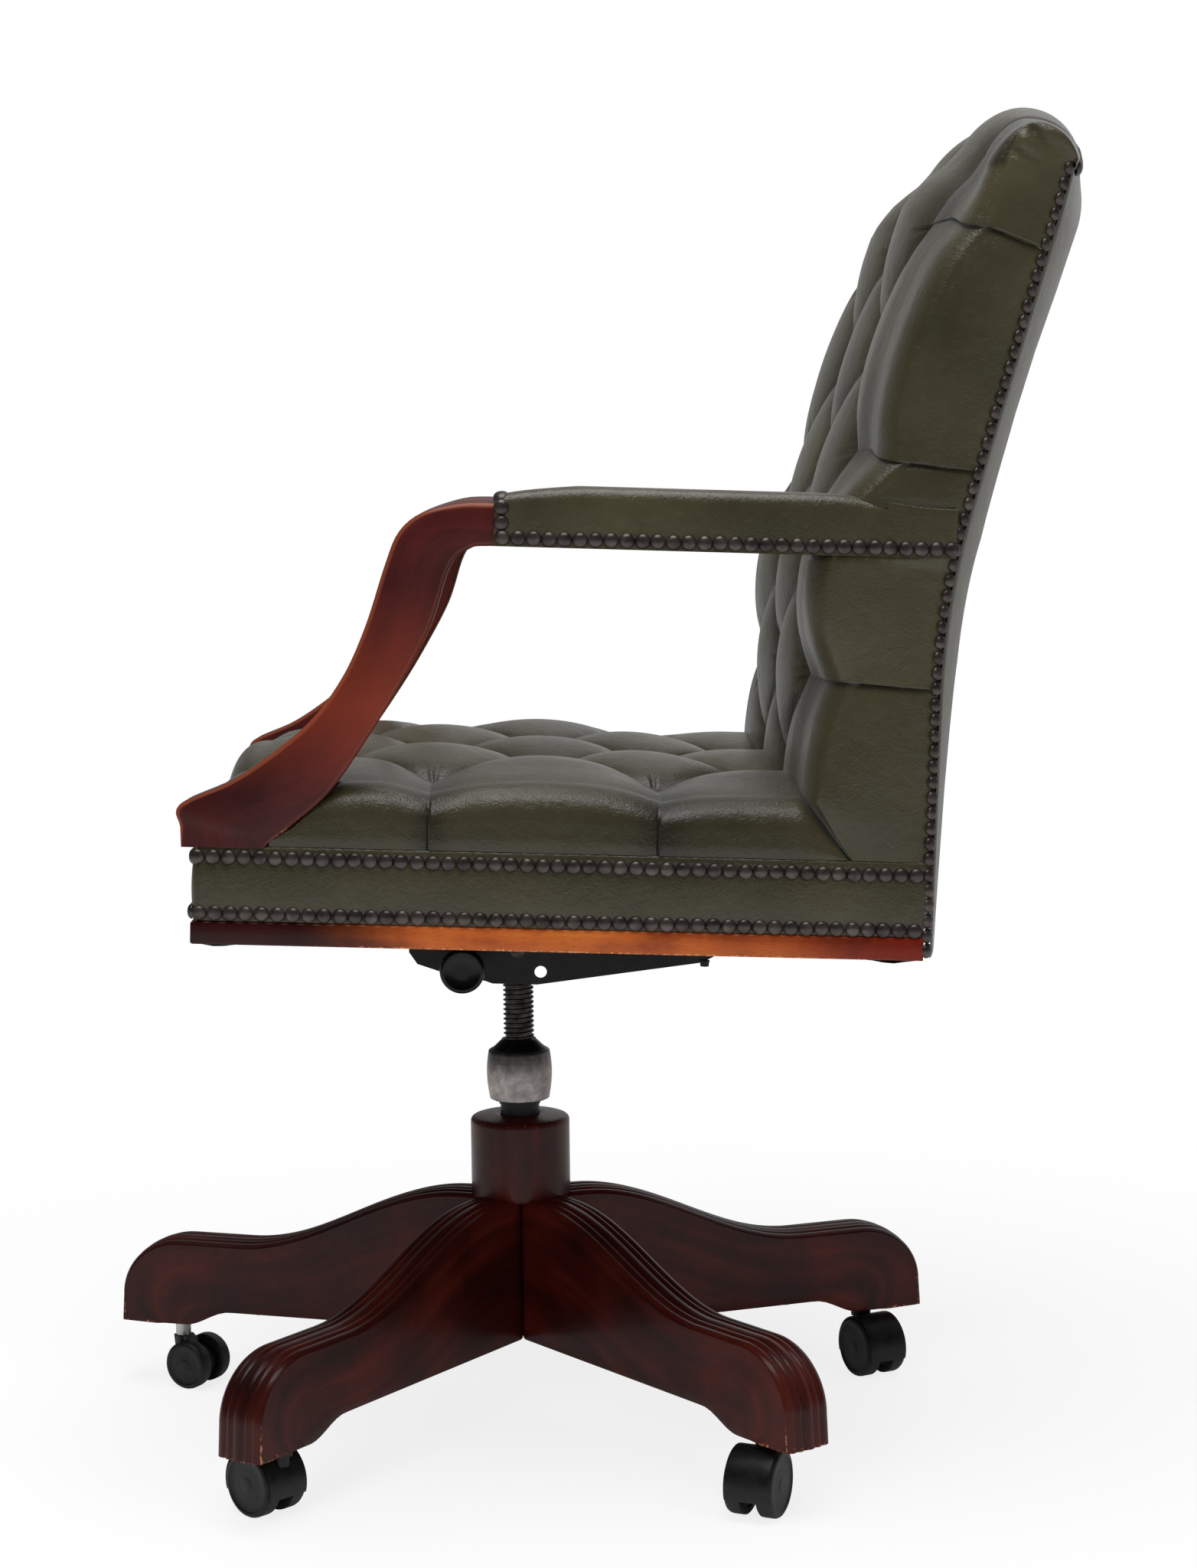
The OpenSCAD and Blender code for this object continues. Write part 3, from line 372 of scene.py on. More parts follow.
for k in range(1, 6):
    hooded = k < 5
    wheel_r, wide, trail, inside = (25, 13, 18, 6.5) if hooded else (20.5, 12, 15, 8.5)
    z = wheel_r
    if hooded:
        r = wheel_r + 1.9
        shell = [(r - 1.5, -17.6), (r - 0.9, -18), (r - 0.2, -17.4), (r, -16), (r, -8), (r, 0), (r, 8), (r, 16),
                 (r - 0.2, 17.4), (r - 0.9, 18), (r - 1.5, 17.6), (r - 1.5, 8), (r - 1.5, -8), (r - 1.5, -17.6)]
        web = [(3.2, -6), (r - 2, -6), (r - 2, 6), (3.2, 6), (3.2, -6)]
        boss = [(4.2, 54.4), (7.4, 54.6), (8.3, 53.8), (8.5, 52), (8.5, 47.6), (6.2, 47.4), (6.2, 40), (4.2, 40),
                (4.2, 54.4)]
        parts = [on_axle(shell, 64, trail, z, z - 8), on_axle(web, 48, trail, z, z - 8)]
    else:
        web = [(3.2, -7.6), (12.4, -7.6), (13.6, -7), (13.9, 0), (13.6, 7), (12.4, 7.6), (3.2, 7.6), (3.2, -7.6)]
        yoke = [(-6, 22), (6, 22), (13, 16), (16, 11), (16, 0), (4, -6), (-4, 6)]
        boss = [(4.2, 42), (6.2, 42.2), (7, 41.4), (7, 29), (4.2, 29), (4.2, 42)]
        cheeks = np.array([(a, y, z + b) for y in (-5.8, 5.8) for a, b in yoke])
        parts = [on_axle(web, 48, trail, z), (cheeks, capped(2, 7))]
    points, faces = together(parts + [turn_profile(boss, 40)])
    hood = make(f"caster_hood_{k}", at_caster(k, points), faces, hood_nylon, f"caster_{k}", sharp=40)
    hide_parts(f"hood_{k}")
    # hub cap, shallow dish, raised rim and a rounded tread
    face = [(3.1, 0), (6, 0), (6, 2), (wheel_r - 5, 2), (wheel_r - 4.6, 0), (wheel_r - 0.8, 0),
            (wheel_r - 0.1, 0.6), (wheel_r, 1.6), (wheel_r, wide - 3.6), (wheel_r - 0.3, wide - 2.2),
            (wheel_r - 1.1, wide - 0.9), (wheel_r - 2.4, wide - 0.15), (wheel_r - 3.6, wide),
            (wheel_r - 4.3, wide - 0.5), (wheel_r - 5.2, wide - 1), (wheel_r * 0.55, wide - 0.7),
            (wheel_r * 0.3, wide - 0.5), (5.2, wide - 0.4), (4.6, wide - 0.1), (3.6, wide), (0.01, wide)]
    for s, side in ((1, "a"), (-1, "b")):
        points, faces = on_axle([(a, s * (inside + b)) for a, b in face], 64, trail, z)
        wheel = make(f"caster_wheel_{k}{side}", at_caster(k, points), faces, wheel_nylon, f"wheel_{k}{side}",
                     sharp=42)
        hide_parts(f"wheel_{k}{side}")
    dress(f"pins_{k}", zinc_plate, 0.0003)

# Height nut and washer
# A barrel-shaped steel nut that turns on the spindle, turned from bar and left bare: cloudy grey, darker
# towards the top, with fine tool marks round it. It stands on a black thrust washer.
bare_steel = surface("bare_turned_steel")
place = add(bare_steel, "TexCoord").outputs["Object"]
# clouds 13 mm across
mottle = add(bare_steel, "TexNoise", {"Scale": 75.0, "Detail": 8.0, "Roughness": 0.65, "Vector": place})
tone = add(bare_steel, "ValToRGB", {"Fac": mottle.outputs[0]},
           stops=((0.3, "#6a6462"), (0.7, "#b5afab"), (0.5, "#8d8784")))
# tool marks 0.5 mm apart round the barrel, drawn at 1 mm
rings = add(bare_steel, "TexNoise", {"Scale": 1.0, "Detail": 2.0, "Vector": add(
    bare_steel, "Mapping", {"Vector": place, "Scale": (25, 25, 1000)}).outputs[0]})
height_on = add(bare_steel, "SeparateXYZ", {0: place}).outputs[2]
darker = add(bare_steel, "MapRange", {"Value": height_on, "From Min": 0.3058, "From Max": 0.3068,
                                      "To Min": 0.0, "To Max": 0.95})
low_dark = add(bare_steel, "MapRange", {"Value": height_on, "From Min": 0.277, "From Max": 0.302,
                                        "To Min": 0.0, "To Max": 0.62})
shade = add(bare_steel, "Math", {0: darker.outputs[0], 1: low_dark.outputs[0]}, operation="MAXIMUM")
tone = add(bare_steel, "MixRGB", {"Fac": shade.outputs[0], "Color1": tone.outputs[0], "Color2": "#171516"})
relief = add(bare_steel, "Bump", {"Strength": 0.3, "Distance": 0.0003, "Height": rings.outputs[0]})
shine = add(bare_steel, "MapRange", {"Value": mottle.outputs[0], "To Min": 0.3, "To Max": 0.5})
finish(bare_steel, {"Base Color": tone.outputs[0], "Metallic": 0.9, "Roughness": shine.outputs[0],
                    "Normal": relief.outputs[0]})
nut_low, nut_top = 264, 306
profile = [(12.8, nut_low), (22, nut_low), (22.9, nut_low + 0.5)]
for t in np.linspace(0.03, 0.97, 30):
    profile.append((mix(48, 54, math.sin(math.radians(150 * t + 8))) / 2, mix(nut_low, nut_top, t)))
profile += [(24.4, nut_top - 0.4), (23.6, nut_top), (22.6, nut_top + 0.4), (19.4, nut_top + 3), (16.4, nut_top + 6),
            (14.6, nut_top + 7.6), (14.2, nut_top + 8.6), (12.8, nut_top + 8.6), (12.8, nut_low)]
points, faces = turn_profile(profile, 96)
nut = make("barrel_nut", points / 1000, faces, bare_steel, "nut", sharp=40)
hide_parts("height_nut")
dress("thrust_washer", black_enamel, 0.0004)

# Spindle
# The one inch steel screw, oiled and darkened: a trapezoidal thread of 4 mm pitch whose crests catch the light.
# The oil lies in dark patches 8 mm across.
screw_steel = surface("oiled_screw_steel")
place = add(screw_steel, "TexCoord").outputs["Object"]
oil = add(screw_steel, "TexNoise", {"Scale": 120.0, "Detail": 5.0, "Vector": place})
tone = add(screw_steel, "ValToRGB", {"Fac": oil.outputs[0]}, stops=((0.35, "#1c1918"), (0.72, "#4a4441")))
finish(screw_steel, {"Base Color": tone.outputs[0], "Metallic": 0.85, "Roughness": 0.36})
pitch, turns, around, screw_low, screw_top = 4.0, 63, 40, 130, 382.4
root, thread_crest = 10.9, 12.6
flank = [(0.0, root), (0.22, root), (0.40, thread_crest), (0.62, thread_crest), (0.8, root)]
columns = [(turn + share, r) for turn in range(turns) for share, r in flank] + [(turns, root)]
thread = []
for share_turn, r in columns:
    for a in np.linspace(0, 2 * np.pi, around + 1):
        z = screw_low + pitch * (share_turn + a / (2 * np.pi))
        thread.append((r * math.cos(a), r * math.sin(a), min(screw_top, z)))
spindle = make("threaded_spindle", np.array(thread) / 1000, grid(len(columns), around + 1), screw_steel, "lift",
               sharp=30)
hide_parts("spindle")

# Tilt mechanism
# A block on the spindle's head carries the pivot pin between two rubber torsion sleeves; the pressed steel
# bracket with its tapered cheeks turns on the pin and is bolted up to the seat. The knob locks the tilt.
dress("spindle_head", black_enamel, 0.0008)
dress("pivot_pin", screw_steel, 0.0006)
# Moulded rubber: dull black, greyed by dust in 7 mm patches.
rubber = surface("moulded_rubber")
dust = add(rubber, "TexNoise", {"Scale": 150.0, "Detail": 5.0, "Vector": add(rubber, "TexCoord").outputs["Object"]})
tone = add(rubber, "ValToRGB", {"Fac": dust.outputs[0]}, stops=((0.4, "#111111"), (0.8, "#262525")))
finish(rubber, {"Base Color": tone.outputs[0], "Roughness": 0.75})
dress("torsion_rubbers", rubber, 0.0008)
dress("tilt_bracket", black_enamel, 0.0006)
dress("bracket_bolts", zinc_plate, 0.0004)
dress("lock_bolt", zinc_plate, 0.0004)


seat_slope, seat_under = math.radians(2.3), 432.8


def seat_place(points):
    # from the seat's own frame, in mm: y back and z up from the frame's underside, to the chair's frame in metres
    points = np.asarray(points, float)
    c, s = math.cos(seat_slope), math.sin(seat_slope)
    return np.column_stack([points[:, 0], points[:, 1] * c + points[:, 2] * s,
                            seat_under - points[:, 1] * s + points[:, 2] * c]) / 1000


# Phenolic moulding for the knob: deep black gloss with hairline scratches 1 mm apart, coarser than real ones.
phenolic = surface("polished_phenolic")
scratch = add(phenolic, "TexNoise", {"Scale": 1.0, "Detail": 3.0, "Vector": add(phenolic, "Mapping", {
    "Vector": add(phenolic, "TexCoord").outputs["Object"], "Scale": (900, 40, 300)}).outputs[0]})
shine = add(phenolic, "MapRange", {"Value": scratch.outputs[0], "To Min": 0.14, "To Max": 0.4})
finish(phenolic, {"Base Color": linear("#080708"), "Roughness": shine.outputs[0], "IOR": 1.55,
                  "Specular IOR Level": 0.2})
profile = [(4.2, 96), (9.5, 96), (10, 96.4), (10, 99.6), (15.6, 100), (16.9, 100.5), (17.6, 101.6), (17.8, 103),
           (17.8, 108), (17.6, 109.4), (17, 110.6), (15.9, 111.4), (14.5, 111.6), (13.9, 111.3), (13.3, 110.8),
           (6, 110.5), (0.01, 110.5)]
knob_points, knob_faces = turn_profile(profile, 72)
knob_points = seat_place(np.column_stack([knob_points[:, 2], knob_points[:, 0] - 42, knob_points[:, 1] - 46]))
knob = make("lock_knob_turned", knob_points, knob_faces, phenolic, "knob", sharp=40)
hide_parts("lock_knob")
# the small hexagon stop bolt that hangs from the bracket's tail
head = [(0.01, 0), (4.6, 0), (4.6, 1.1), (4.1, 1.2), (3.9, 4.6), (3.4, 5), (0.01, 5)]
points, faces = turn_profile(head, 6)
points = seat_place(points * (1, 1, -1) + (53.5, 153, -41))
make("stop_bolt_head", points, faces, black_enamel, "seat", sharp=30)

# Seat frame
# Rails, corner blocks and the two battens that take the bracket: sawn beech, glued and screwed, left raw.
# Its flecks are 4.5 mm wide and 70 mm long.
beech = surface("sawn_beech")
place = add(beech, "TexCoord").outputs["Object"]
fleck = add(beech, "TexNoise", {"Scale": 1.0, "Detail": 5.0, "Vector": add(
    beech, "Mapping", {"Vector": place, "Scale": (220, 14, 220)}).outputs[0]})
tone = add(beech, "ValToRGB", {"Fac": fleck.outputs[0]}, stops=((0.3, "#a8824f"), (0.7, "#caa673")))
relief = add(beech, "Bump", {"Strength": 0.3, "Distance": 0.0004, "Height": fleck.outputs[0]})
finish(beech, {"Base Color": tone.outputs[0], "Roughness": 0.7, "Normal": relief.outputs[0]})
for node in ("cross_battens", "front_rail", "rear_rail", "left_rail", "right_rail", "corner_blocks", "back_stiles",
             "back_rails"):
    dress(node, beech, 0.0008)
dress("arm_screws", zinc_plate)

# Show-wood strips
# Polished mahogany battens under the leather at both sides and the front, mitred at the corners. The light has
# bleached the sides orange in the middle; the ends are still dark red.
strip_mahogany = polished_mahogany("strip_mahogany", "#5a1f0d", "#9b4b1b", "#b16127", "#d08a5c", 0.3, 0.12)


def base_colour(material):
    # the shader's colour input in a finished material, and what feeds it
    shader = next(n for n in material.node_tree.nodes if n.type == "BSDF_PRINCIPLED")
    return shader.inputs["Base Color"], shader.inputs["Base Color"].links[0].from_socket


painted, plain = base_colour(strip_mahogany)
along_strip = add(strip_mahogany, "SeparateXYZ", {0: add(strip_mahogany, "TexCoord").outputs["Object"]}).outputs[1]
front_dark = add(strip_mahogany, "MapRange", {"Value": along_strip, "From Min": -0.06, "From Max": -0.16},
                 interpolation_type="SMOOTHSTEP")
rear_dark = add(strip_mahogany, "MapRange", {"Value": along_strip, "From Min": 0.12, "From Max": 0.28},
                interpolation_type="SMOOTHSTEP")
deeper = add(strip_mahogany, "MixRGB", {"Fac": rear_dark.outputs[0], "Color1": plain, "Color2": "#a2573c"},
             blend_type="MULTIPLY")
deeper = add(strip_mahogany, "MixRGB", {"Fac": front_dark.outputs[0], "Color1": deeper.outputs[0],
                                        "Color2": "#42191c"}, blend_type="MULTIPLY")
strip_mahogany.node_tree.links.new(deeper.outputs[0], painted)
strip_deep, strip_high, strip_round = 28, 17, 2.2


def board(a, b, inner_a, inner_b):
    # a batten between two mitres: its outer face runs from a to b, its inner one from inner_a to inner_b
    deep, high, soft = strip_deep, strip_high, strip_round
    profile = [(0, soft), (0.12 * soft, 0.5 * soft), (0.5 * soft, 0.12 * soft), (soft, 0), (deep, 0), (deep, high),
               (soft, high), (0.5 * soft, high - 0.12 * soft), (0.12 * soft, high - 0.5 * soft), (0, high - soft)]
    a, b, inner_a, inner_b = (np.array(v, float) for v in (a, b, inner_a, inner_b))
    points, grain = [], []
    steps = 24
    for t in np.linspace(0, 1, steps):
        for inward, z in profile:
            share = inward / deep
            p = mix(mix(a, inner_a, share), mix(b, inner_b, share), t)
            points.append((p[0], p[1], z))
            grain.append((np.linalg.norm(b - a) * t / 1000, (inward + z) / 1000))
    return points, capped(steps, len(profile)), grain


strips = [board((s * 300, -235), (s * 300, 294), (s * 272, -207), (s * 272, 294)) for s in (1, -1)]
strips.append(board((-300, -235), (300, -235), (-272, -207), (272, -207)))
points, faces = together([(p, f) for p, f, g in strips])
grain = np.vstack([g for p, f, g in strips])
low_edge = np.where(points[:, 2] < 1.5, 0.72, np.where(points[:, 2] > 15.6, 0.5, 0.35))
strip_piece = make("mahogany_strips", seat_place(points), faces, strip_mahogany, "seat",
                   sharp=50, grain=grain, marks={"wear": low_edge})
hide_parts("show_strips")

# Leather bands
# A strip of the same hide round both sides and the front, stretched over the rails between two rows of
# nails. It swells a little between the rows and puckers under each nail.
hide = surface("olive_hide")
# Pigmented cow hide, semi-gloss: olive green, a fine pebble and soft creases, with painted shade in the pleats, round
# the buttons and along the folds, carried by the pleat attribute. The pebble is 1 mm in the real hide and 1.6 mm here;
# creases lie 14 mm apart.
place = add(hide, "TexCoord").outputs["Object"]
pleat = add(hide, "Attribute", attribute_name="pleat").outputs["Fac"]
drift = add(hide, "TexNoise", {"Scale": 9.0, "Detail": 5.0, "Vector": place})
tone = add(hide, "ValToRGB", {"Fac": drift.outputs[0]}, stops=((0.3, "#272414"), (0.72, "#3d3824"), (0.5, "#312d1b")))
# painted shade: the hide's colour is darkened to 0.42 where the pleat attribute is 1
pleat_shade = add(hide, "MapRange", {"Value": pleat, "To Min": 1.0, "To Max": 0.42})
tone = add(hide, "MixRGB", {"Fac": 1.0, "Color1": tone.outputs[0], "Color2": pleat_shade.outputs[0]}, blend_type="MULTIPLY")
pebble = add(hide, "TexVoronoi", {"Scale": 620.0, "Vector": place}, feature="SMOOTH_F1")
crease = add(hide, "TexNoise", {"Scale": 70.0, "Detail": 6.0, "Roughness": 0.6, "Distortion": 0.6, "Vector": place})
veins = add(hide, "TexVoronoi", {"Scale": 55.0, "Vector": add(hide, "VectorMath", {0: place, 1: add(
    hide, "TexNoise", {"Scale": 30.0, "Vector": place}).outputs[1]}, operation="MULTIPLY_ADD").outputs[0]},
    feature="DISTANCE_TO_EDGE")
vein = add(hide, "MapRange", {"Value": veins.outputs[0], "From Max": 0.06, "To Min": 0.0, "To Max": 1.0})
relief = add(hide, "Bump", {"Strength": 0.32, "Distance": 0.0006, "Height": pebble.outputs[0]})
relief = add(hide, "Bump", {"Strength": 0.35, "Distance": 0.0022, "Height": crease.outputs[0],
                            "Normal": relief.outputs[0]})
relief = add(hide, "Bump", {"Strength": 0.16, "Distance": 0.0008, "Height": vein.outputs[0],
                            "Normal": relief.outputs[0]})
shine = add(hide, "MapRange", {"Value": crease.outputs[0], "To Min": 0.26, "To Max": 0.42})
finish(hide, {"Base Color": tone.outputs[0], "Roughness": shine.outputs[0], "IOR": 1.5, "Specular IOR Level": 0.42,
              "Sheen Weight": 0.12, "Sheen Roughness": 0.4, "Normal": relief.outputs[0]})
nail_pitch = 11.2


def tucked(along):
    # how far the hide is drawn in under a row of nails: fully at each nail, not at all between two
    return 0.5 + 0.5 * np.cos(2 * np.pi * along / nail_pitch)


path = [(298.9, y, 1, 0) for y in np.linspace(294, -226, 210)]
path += [(290.9 + 8 * math.cos(a), -226 - 8 * math.sin(a), math.cos(a), -math.sin(a))
         for a in np.linspace(0.2, np.pi / 2 - 0.2, 5)]
path += [(x, -234, 0, -1) for x in np.linspace(290, -290, 230)]
path += [(-x, y, -nx, ny) for x, y, nx, ny in path[:215][::-1]]
band_z = np.concatenate([[17.2, 17.4, 19, 21, 23, 25], np.linspace(27.5, 58, 12), [60, 62, 64, 67, 70.6, 71.6]])
points, pleats, distance = [], [], 0
for k, (x, y, nx, ny) in enumerate(path):
    if k:
        distance += math.hypot(x - path[k - 1][0], y - path[k - 1][1])
    pucker = float(tucked(distance))
    for z in band_z:
        swell = 1.5 * max(0, math.sin(math.pi * (z - 22) / 41)) ** 0.7 if 22 < z < 63 else 0
        near = math.exp(-((z - 23) / 4.5) ** 2) + math.exp(-((z - 62) / 4.5) ** 2)
        out = swell - 0.75 * near * pucker - (1.2 if z < 17.3 or z > 71 else 0)
        points.append((x + nx * out, y + ny * out, z))
        # painted shade where the hide puckers under each nail
        pleats.append(min(1, near * pucker * 0.55))
band = make("nailed_bands", seat_place(points), grid(len(path), len(band_z)), hide, "seat",
            marks={"pleat": pleats})
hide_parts("leather_bands")

# Upholstery nails
# Domed nails of antiqued brass, 11 mm across, driven almost edge to edge: two rows round the seat, one up each
# rear edge of the back and along its crest, and one round each arm pad. The patina clouds them every 12 mm.
antique_brass = surface("antiqued_brass")
place = add(antique_brass, "TexCoord").outputs["Object"]
patina = add(antique_brass, "TexNoise", {"Scale": 85.0, "Detail": 5.0, "Vector": place})
tone = add(antique_brass, "ValToRGB", {"Fac": patina.outputs[0]},
           stops=((0.34, "#322d2b"), (0.68, "#554d49"), (0.5, "#433c3a")))
shine = add(antique_brass, "MapRange", {"Value": patina.outputs[0], "To Min": 0.26, "To Max": 0.42})
finish(antique_brass, {"Base Color": tone.outputs[0], "Metallic": 0.75, "Roughness": shine.outputs[0]})
dome = [(5.55, -0.4), (5.6, 0.35), (5.35, 1.0), (4.75, 1.8), (3.8, 2.5), (2.6, 3.0), (1.3, 3.25), (0.02, 3.3)]
dome_points, dome_faces = turn_profile(dome, 18)
chance = np.random.default_rng(7)


def nails(name, places):
    parts = []
    for at, out in places:
        out = Vector(out) + Vector(chance.normal(0, 0.045, 3))
        turn = np.array(out.normalized().to_track_quat("Z", "Y").to_matrix())
        parts.append((dome_points @ turn.T + np.array(at) + chance.normal(0, 0.16, 3), dome_faces))
    points, faces = together(parts)
    return make(name, seat_place(points), faces, antique_brass, "seat", sharp=50)


def every(a, b, step=nail_pitch):
    a, b = np.array(a, float), np.array(b, float)
    count = round(np.linalg.norm(b - a) / step)
    return [mix(a, b, k / count) for k in range(count + 1)]


seat_nails = []
for s in (1, -1):
    for a, b in (((-229, 23), (287, 22)), ((-231, 63.5), (287, 62))):
        seat_nails += [((s * 299.2, y, z), (s, 0, 0)) for y, z in every(a, b)]
seat_nails += [((x, -234.6, z), (0, -1, 0)) for z in (23, 62.5) for x in np.linspace(-291, 291, 53)]
nails("seat_nails", seat_nails)

# Webbing
# Five jute straps tacked over the rails from front to rear, which carry the cushion: matt, dull brown, woven
# in ribs that are drawn 5 mm apart, coarser than the real 2 mm.
jute = surface("woven_jute")
place = add(jute, "TexCoord").outputs["Object"]
weave = add(jute, "TexWave", {"Scale": 60.0, "Distortion": 1.0, "Detail": 2.0, "Vector": place})
tone = add(jute, "ValToRGB", {"Fac": weave.outputs[0]}, stops=((0.2, "#2a241a"), (0.8, "#57492f")))
relief = add(jute, "Bump", {"Strength": 0.5, "Distance": 0.0008, "Height": weave.outputs[0]})
finish(jute, {"Base Color": tone.outputs[0], "Roughness": 0.9, "Normal": relief.outputs[0]})
straps = []
for k in range(-2, 3):
    ys = np.linspace(-227, 264, 40)
    strap = [(k * 95 + x, y, 70.7 - 2.5 * max(0, math.sin(math.pi * (y + 227) / 491)) ** 0.5)
             for y in ys for x in (-25, -12, 0, 12, 25)]
    straps.append((strap, grid(40, 5)))
points, faces = together(straps)
webbing = make("jute_webbing", seat_place(points), faces, jute, "seat")
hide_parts("seat_webbing")

# Dust cover
# Thin black cambric tacked under the frame round the bracket: matt, flecked with lint every 3 mm. It sags, and
# its ends hang loose below the strips.
cambric = surface("black_cambric")
place = add(cambric, "TexCoord").outputs["Object"]
lint = add(cambric, "TexNoise", {"Scale": 350.0, "Detail": 5.0, "Vector": place})
tone = add(cambric, "ValToRGB", {"Fac": lint.outputs[0]}, stops=((0.4, "#0d0d0e"), (0.8, "#262527")))
relief = add(cambric, "Bump", {"Strength": 0.4, "Distance": 0.0006, "Height": lint.outputs[0]})
finish(cambric, {"Base Color": tone.outputs[0], "Roughness": 0.92, "Normal": relief.outputs[0]})
xs, ys = np.linspace(-292, 292, 74), np.linspace(-227, 290, 66)
points, keep = [], []
for y in ys:
    for x in xs:
        edge = min(292 - abs(x), y + 227, 290 - y)
        sag = 2.4 * ease(edge / 70) + 0.8 * math.sin(x / 31 + y / 47) * ease(edge / 30)
        loose = 2.6 * math.exp(-((y - 272) / 12) ** 2) * ease((x - 262) / 22)
        loose += 1.8 * math.exp(-((y + 216) / 9) ** 2) * ease((x - 266) / 20)
        points.append((x, y, -0.6 - max(0, sag) - loose))
for f in grid(len(ys), len(xs)):
    middle = np.mean([points[i] for i in f], axis=0)
    if not (abs(middle[0]) < 100 and -92 < middle[1] < 166):
        keep.append(f)
cover = make("cambric_cover", seat_place(points), keep, cambric, "seat")
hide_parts("dust_cover")


# Seat cushion
# Hair and foam under one hide, buttoned down through it in a diamond lattice: deep pleats run from button to
# button, and straight ones from the last buttons over the sides and the front edge.
def puff(x, y, a, b, power=0.5):
    return np.abs(np.sin(np.pi / 2 * (x / a + y / b)) * np.sin(np.pi / 2 * (x / a - y / b))) ** power


def pit(x, y, a, b, wide=420):
    i, j = np.round((x / a + y / b) / 2), np.round((x / a - y / b) / 2)
    return np.exp(-((x - (i + j) * a) ** 2 + (y - (i - j) * b) ** 2) / wide)


def gathers(x, y, a, b):
    # fine wrinkles that run out from each button between the pleats
    i, j = np.round((x / a + y / b) / 2), np.round((x / a - y / b) / 2)
    dx, dy = x - (i + j) * a, y - (i - j) * b
    away = np.hypot(dx, dy)
    return np.sin(np.arctan2(dy, dx) * 14 + 3 * np.sin(i * 2.1 + j)) * np.exp(-((away - 17) / 13) ** 2)


seat_cell = (97.5, 84)


def in_seat_lattice(x, y):
    # the place in the button lattice, held at its last buttons so that the pleats run on straight from them
    return np.clip(x, -195, 195), np.clip(y + 66, -84, 252)


def seat_height_at(x, y):
    xc, yc = in_seat_lattice(x, y)
    inner = np.where((np.abs(x - xc) + np.abs(y + 66 - yc)) < 1, 1, 0.3)
    side = ease((np.abs(x) - 195) / 60)
    bed = 42 - 7 * ease((y - 40) / 150) + 4 * side
    return (bed + (19 - 10 * side) * puff(xc, yc, *seat_cell, 0.42) - 10 * pit(xc, yc, *seat_cell) * inner
            + 0.9 * gathers(xc, yc, *seat_cell) * inner)


# the seat is notched round the arm's rear edge, here from top to foot
arm_rear = [(-24, 291), (-42, 288), (-55, 275), (-68, 232), (-90, 187.4), (-111, 151), (-137, 112), (-164, 86.6),
            (-190, 70)]
arm_rear_y, arm_rear_z = [p[0] for p in arm_rear[::-1]], [p[1] for p in arm_rear[::-1]]
foot = 71.9
side_pleats = (-66, 100)
seat_ys = np.unique(np.round(np.concatenate([np.linspace(-205, 190, 96), [194, 199, 203]] + [
    [line - 4, line - 2.2, line - 1, line, line + 1, line + 2.2, line + 4] for line in side_pleats]), 1))


def seat_ring(x, share, notched):
    # one section through the cushion from front to rear; share is how much of its height is left
    nose = 16
    y = seat_ys
    front_fall = 1 - 0.36 * (1 - np.clip((y + 236) / 95, 0, 1)) ** 2
    h = seat_height_at(np.full_like(y, x), y) * share * front_fall
    # the front corners are pulled down
    h = h * (1 - 0.14 * float(ease((abs(x) - 60) / 90)) * ease((-90 - y) / 80))
    if notched:
        y = np.where(y < -179.5, -179.5 + (y + 179.5) * 0.004, y)
        limit = np.interp(y - 0.6, arm_rear_y, arm_rear_z) - foot - 1.2
        h = np.where(y < -60, np.minimum(h, np.maximum(limit, 0.2)), h)
        lead = [(x, -179.9, foot + 0.1 * k / nose) for k in range(nose + 1)]
    else:
        u = np.linspace(0, np.pi / 2, nose, endpoint=False)
        swell = float(puff(np.clip(x, -195, 195), -84.0, *seat_cell))
        pull = 0.75 + 1.1 * float(ease((abs(x) - 110) / 100))
        rise = h[0] * (0.12 + 0.88 * np.sin(u) ** 0.9)
        lead = [(x, -205 - (26 + 5 * swell) * c, foot + r) for c, r in zip(np.cos(u) ** pull, rise)]
        lead = [(x, -234, foot)] + lead
    tail = [(x, 203 + 35 * t, foot + h[-1] * (1 - t ** 1.25)) for t in (0.2, 0.4, 0.6, 0.8, 1)]
    return lead + [(x, a, foot + b) for a, b in zip(y, h)] + tail


rings = []
for x in np.linspace(-272.4, 272.4, 121):
    rings.append((x, 1 - 0.1 * max(0, (abs(x) - 235) / 37.4) ** 2, False))
outer = [(272.7 + 26.1 * math.sin(u), 0.9 * (0.3 + 0.7 * math.cos(u) ** 0.8), True)
         for u in np.linspace(0.0, np.pi / 2, 14)]
outer += [(299.3, 0.2, True), (299.4, 0.13, True), (299.2, 0.07, True), (298.7, 0.0, True)]
rings = [(-x, e, n) for x, e, n in outer[::-1]] + rings + outer
points = np.array([p for ring in rings for p in seat_ring(*ring)])
per_ring = len(points) // len(rings)


def pleat_marks(place, cell):
    # painted shade: along the pleats, and round the buttons
    return np.maximum(np.exp(-((puff(*place, *cell) / 0.3) ** 2)) * 0.85, pit(*place, *cell, 160))


# painted shade along the pleats and round the buttons, carried in the pleat attribute
pleat = pleat_marks(in_seat_lattice(points[:, 0], points[:, 1]), seat_cell)
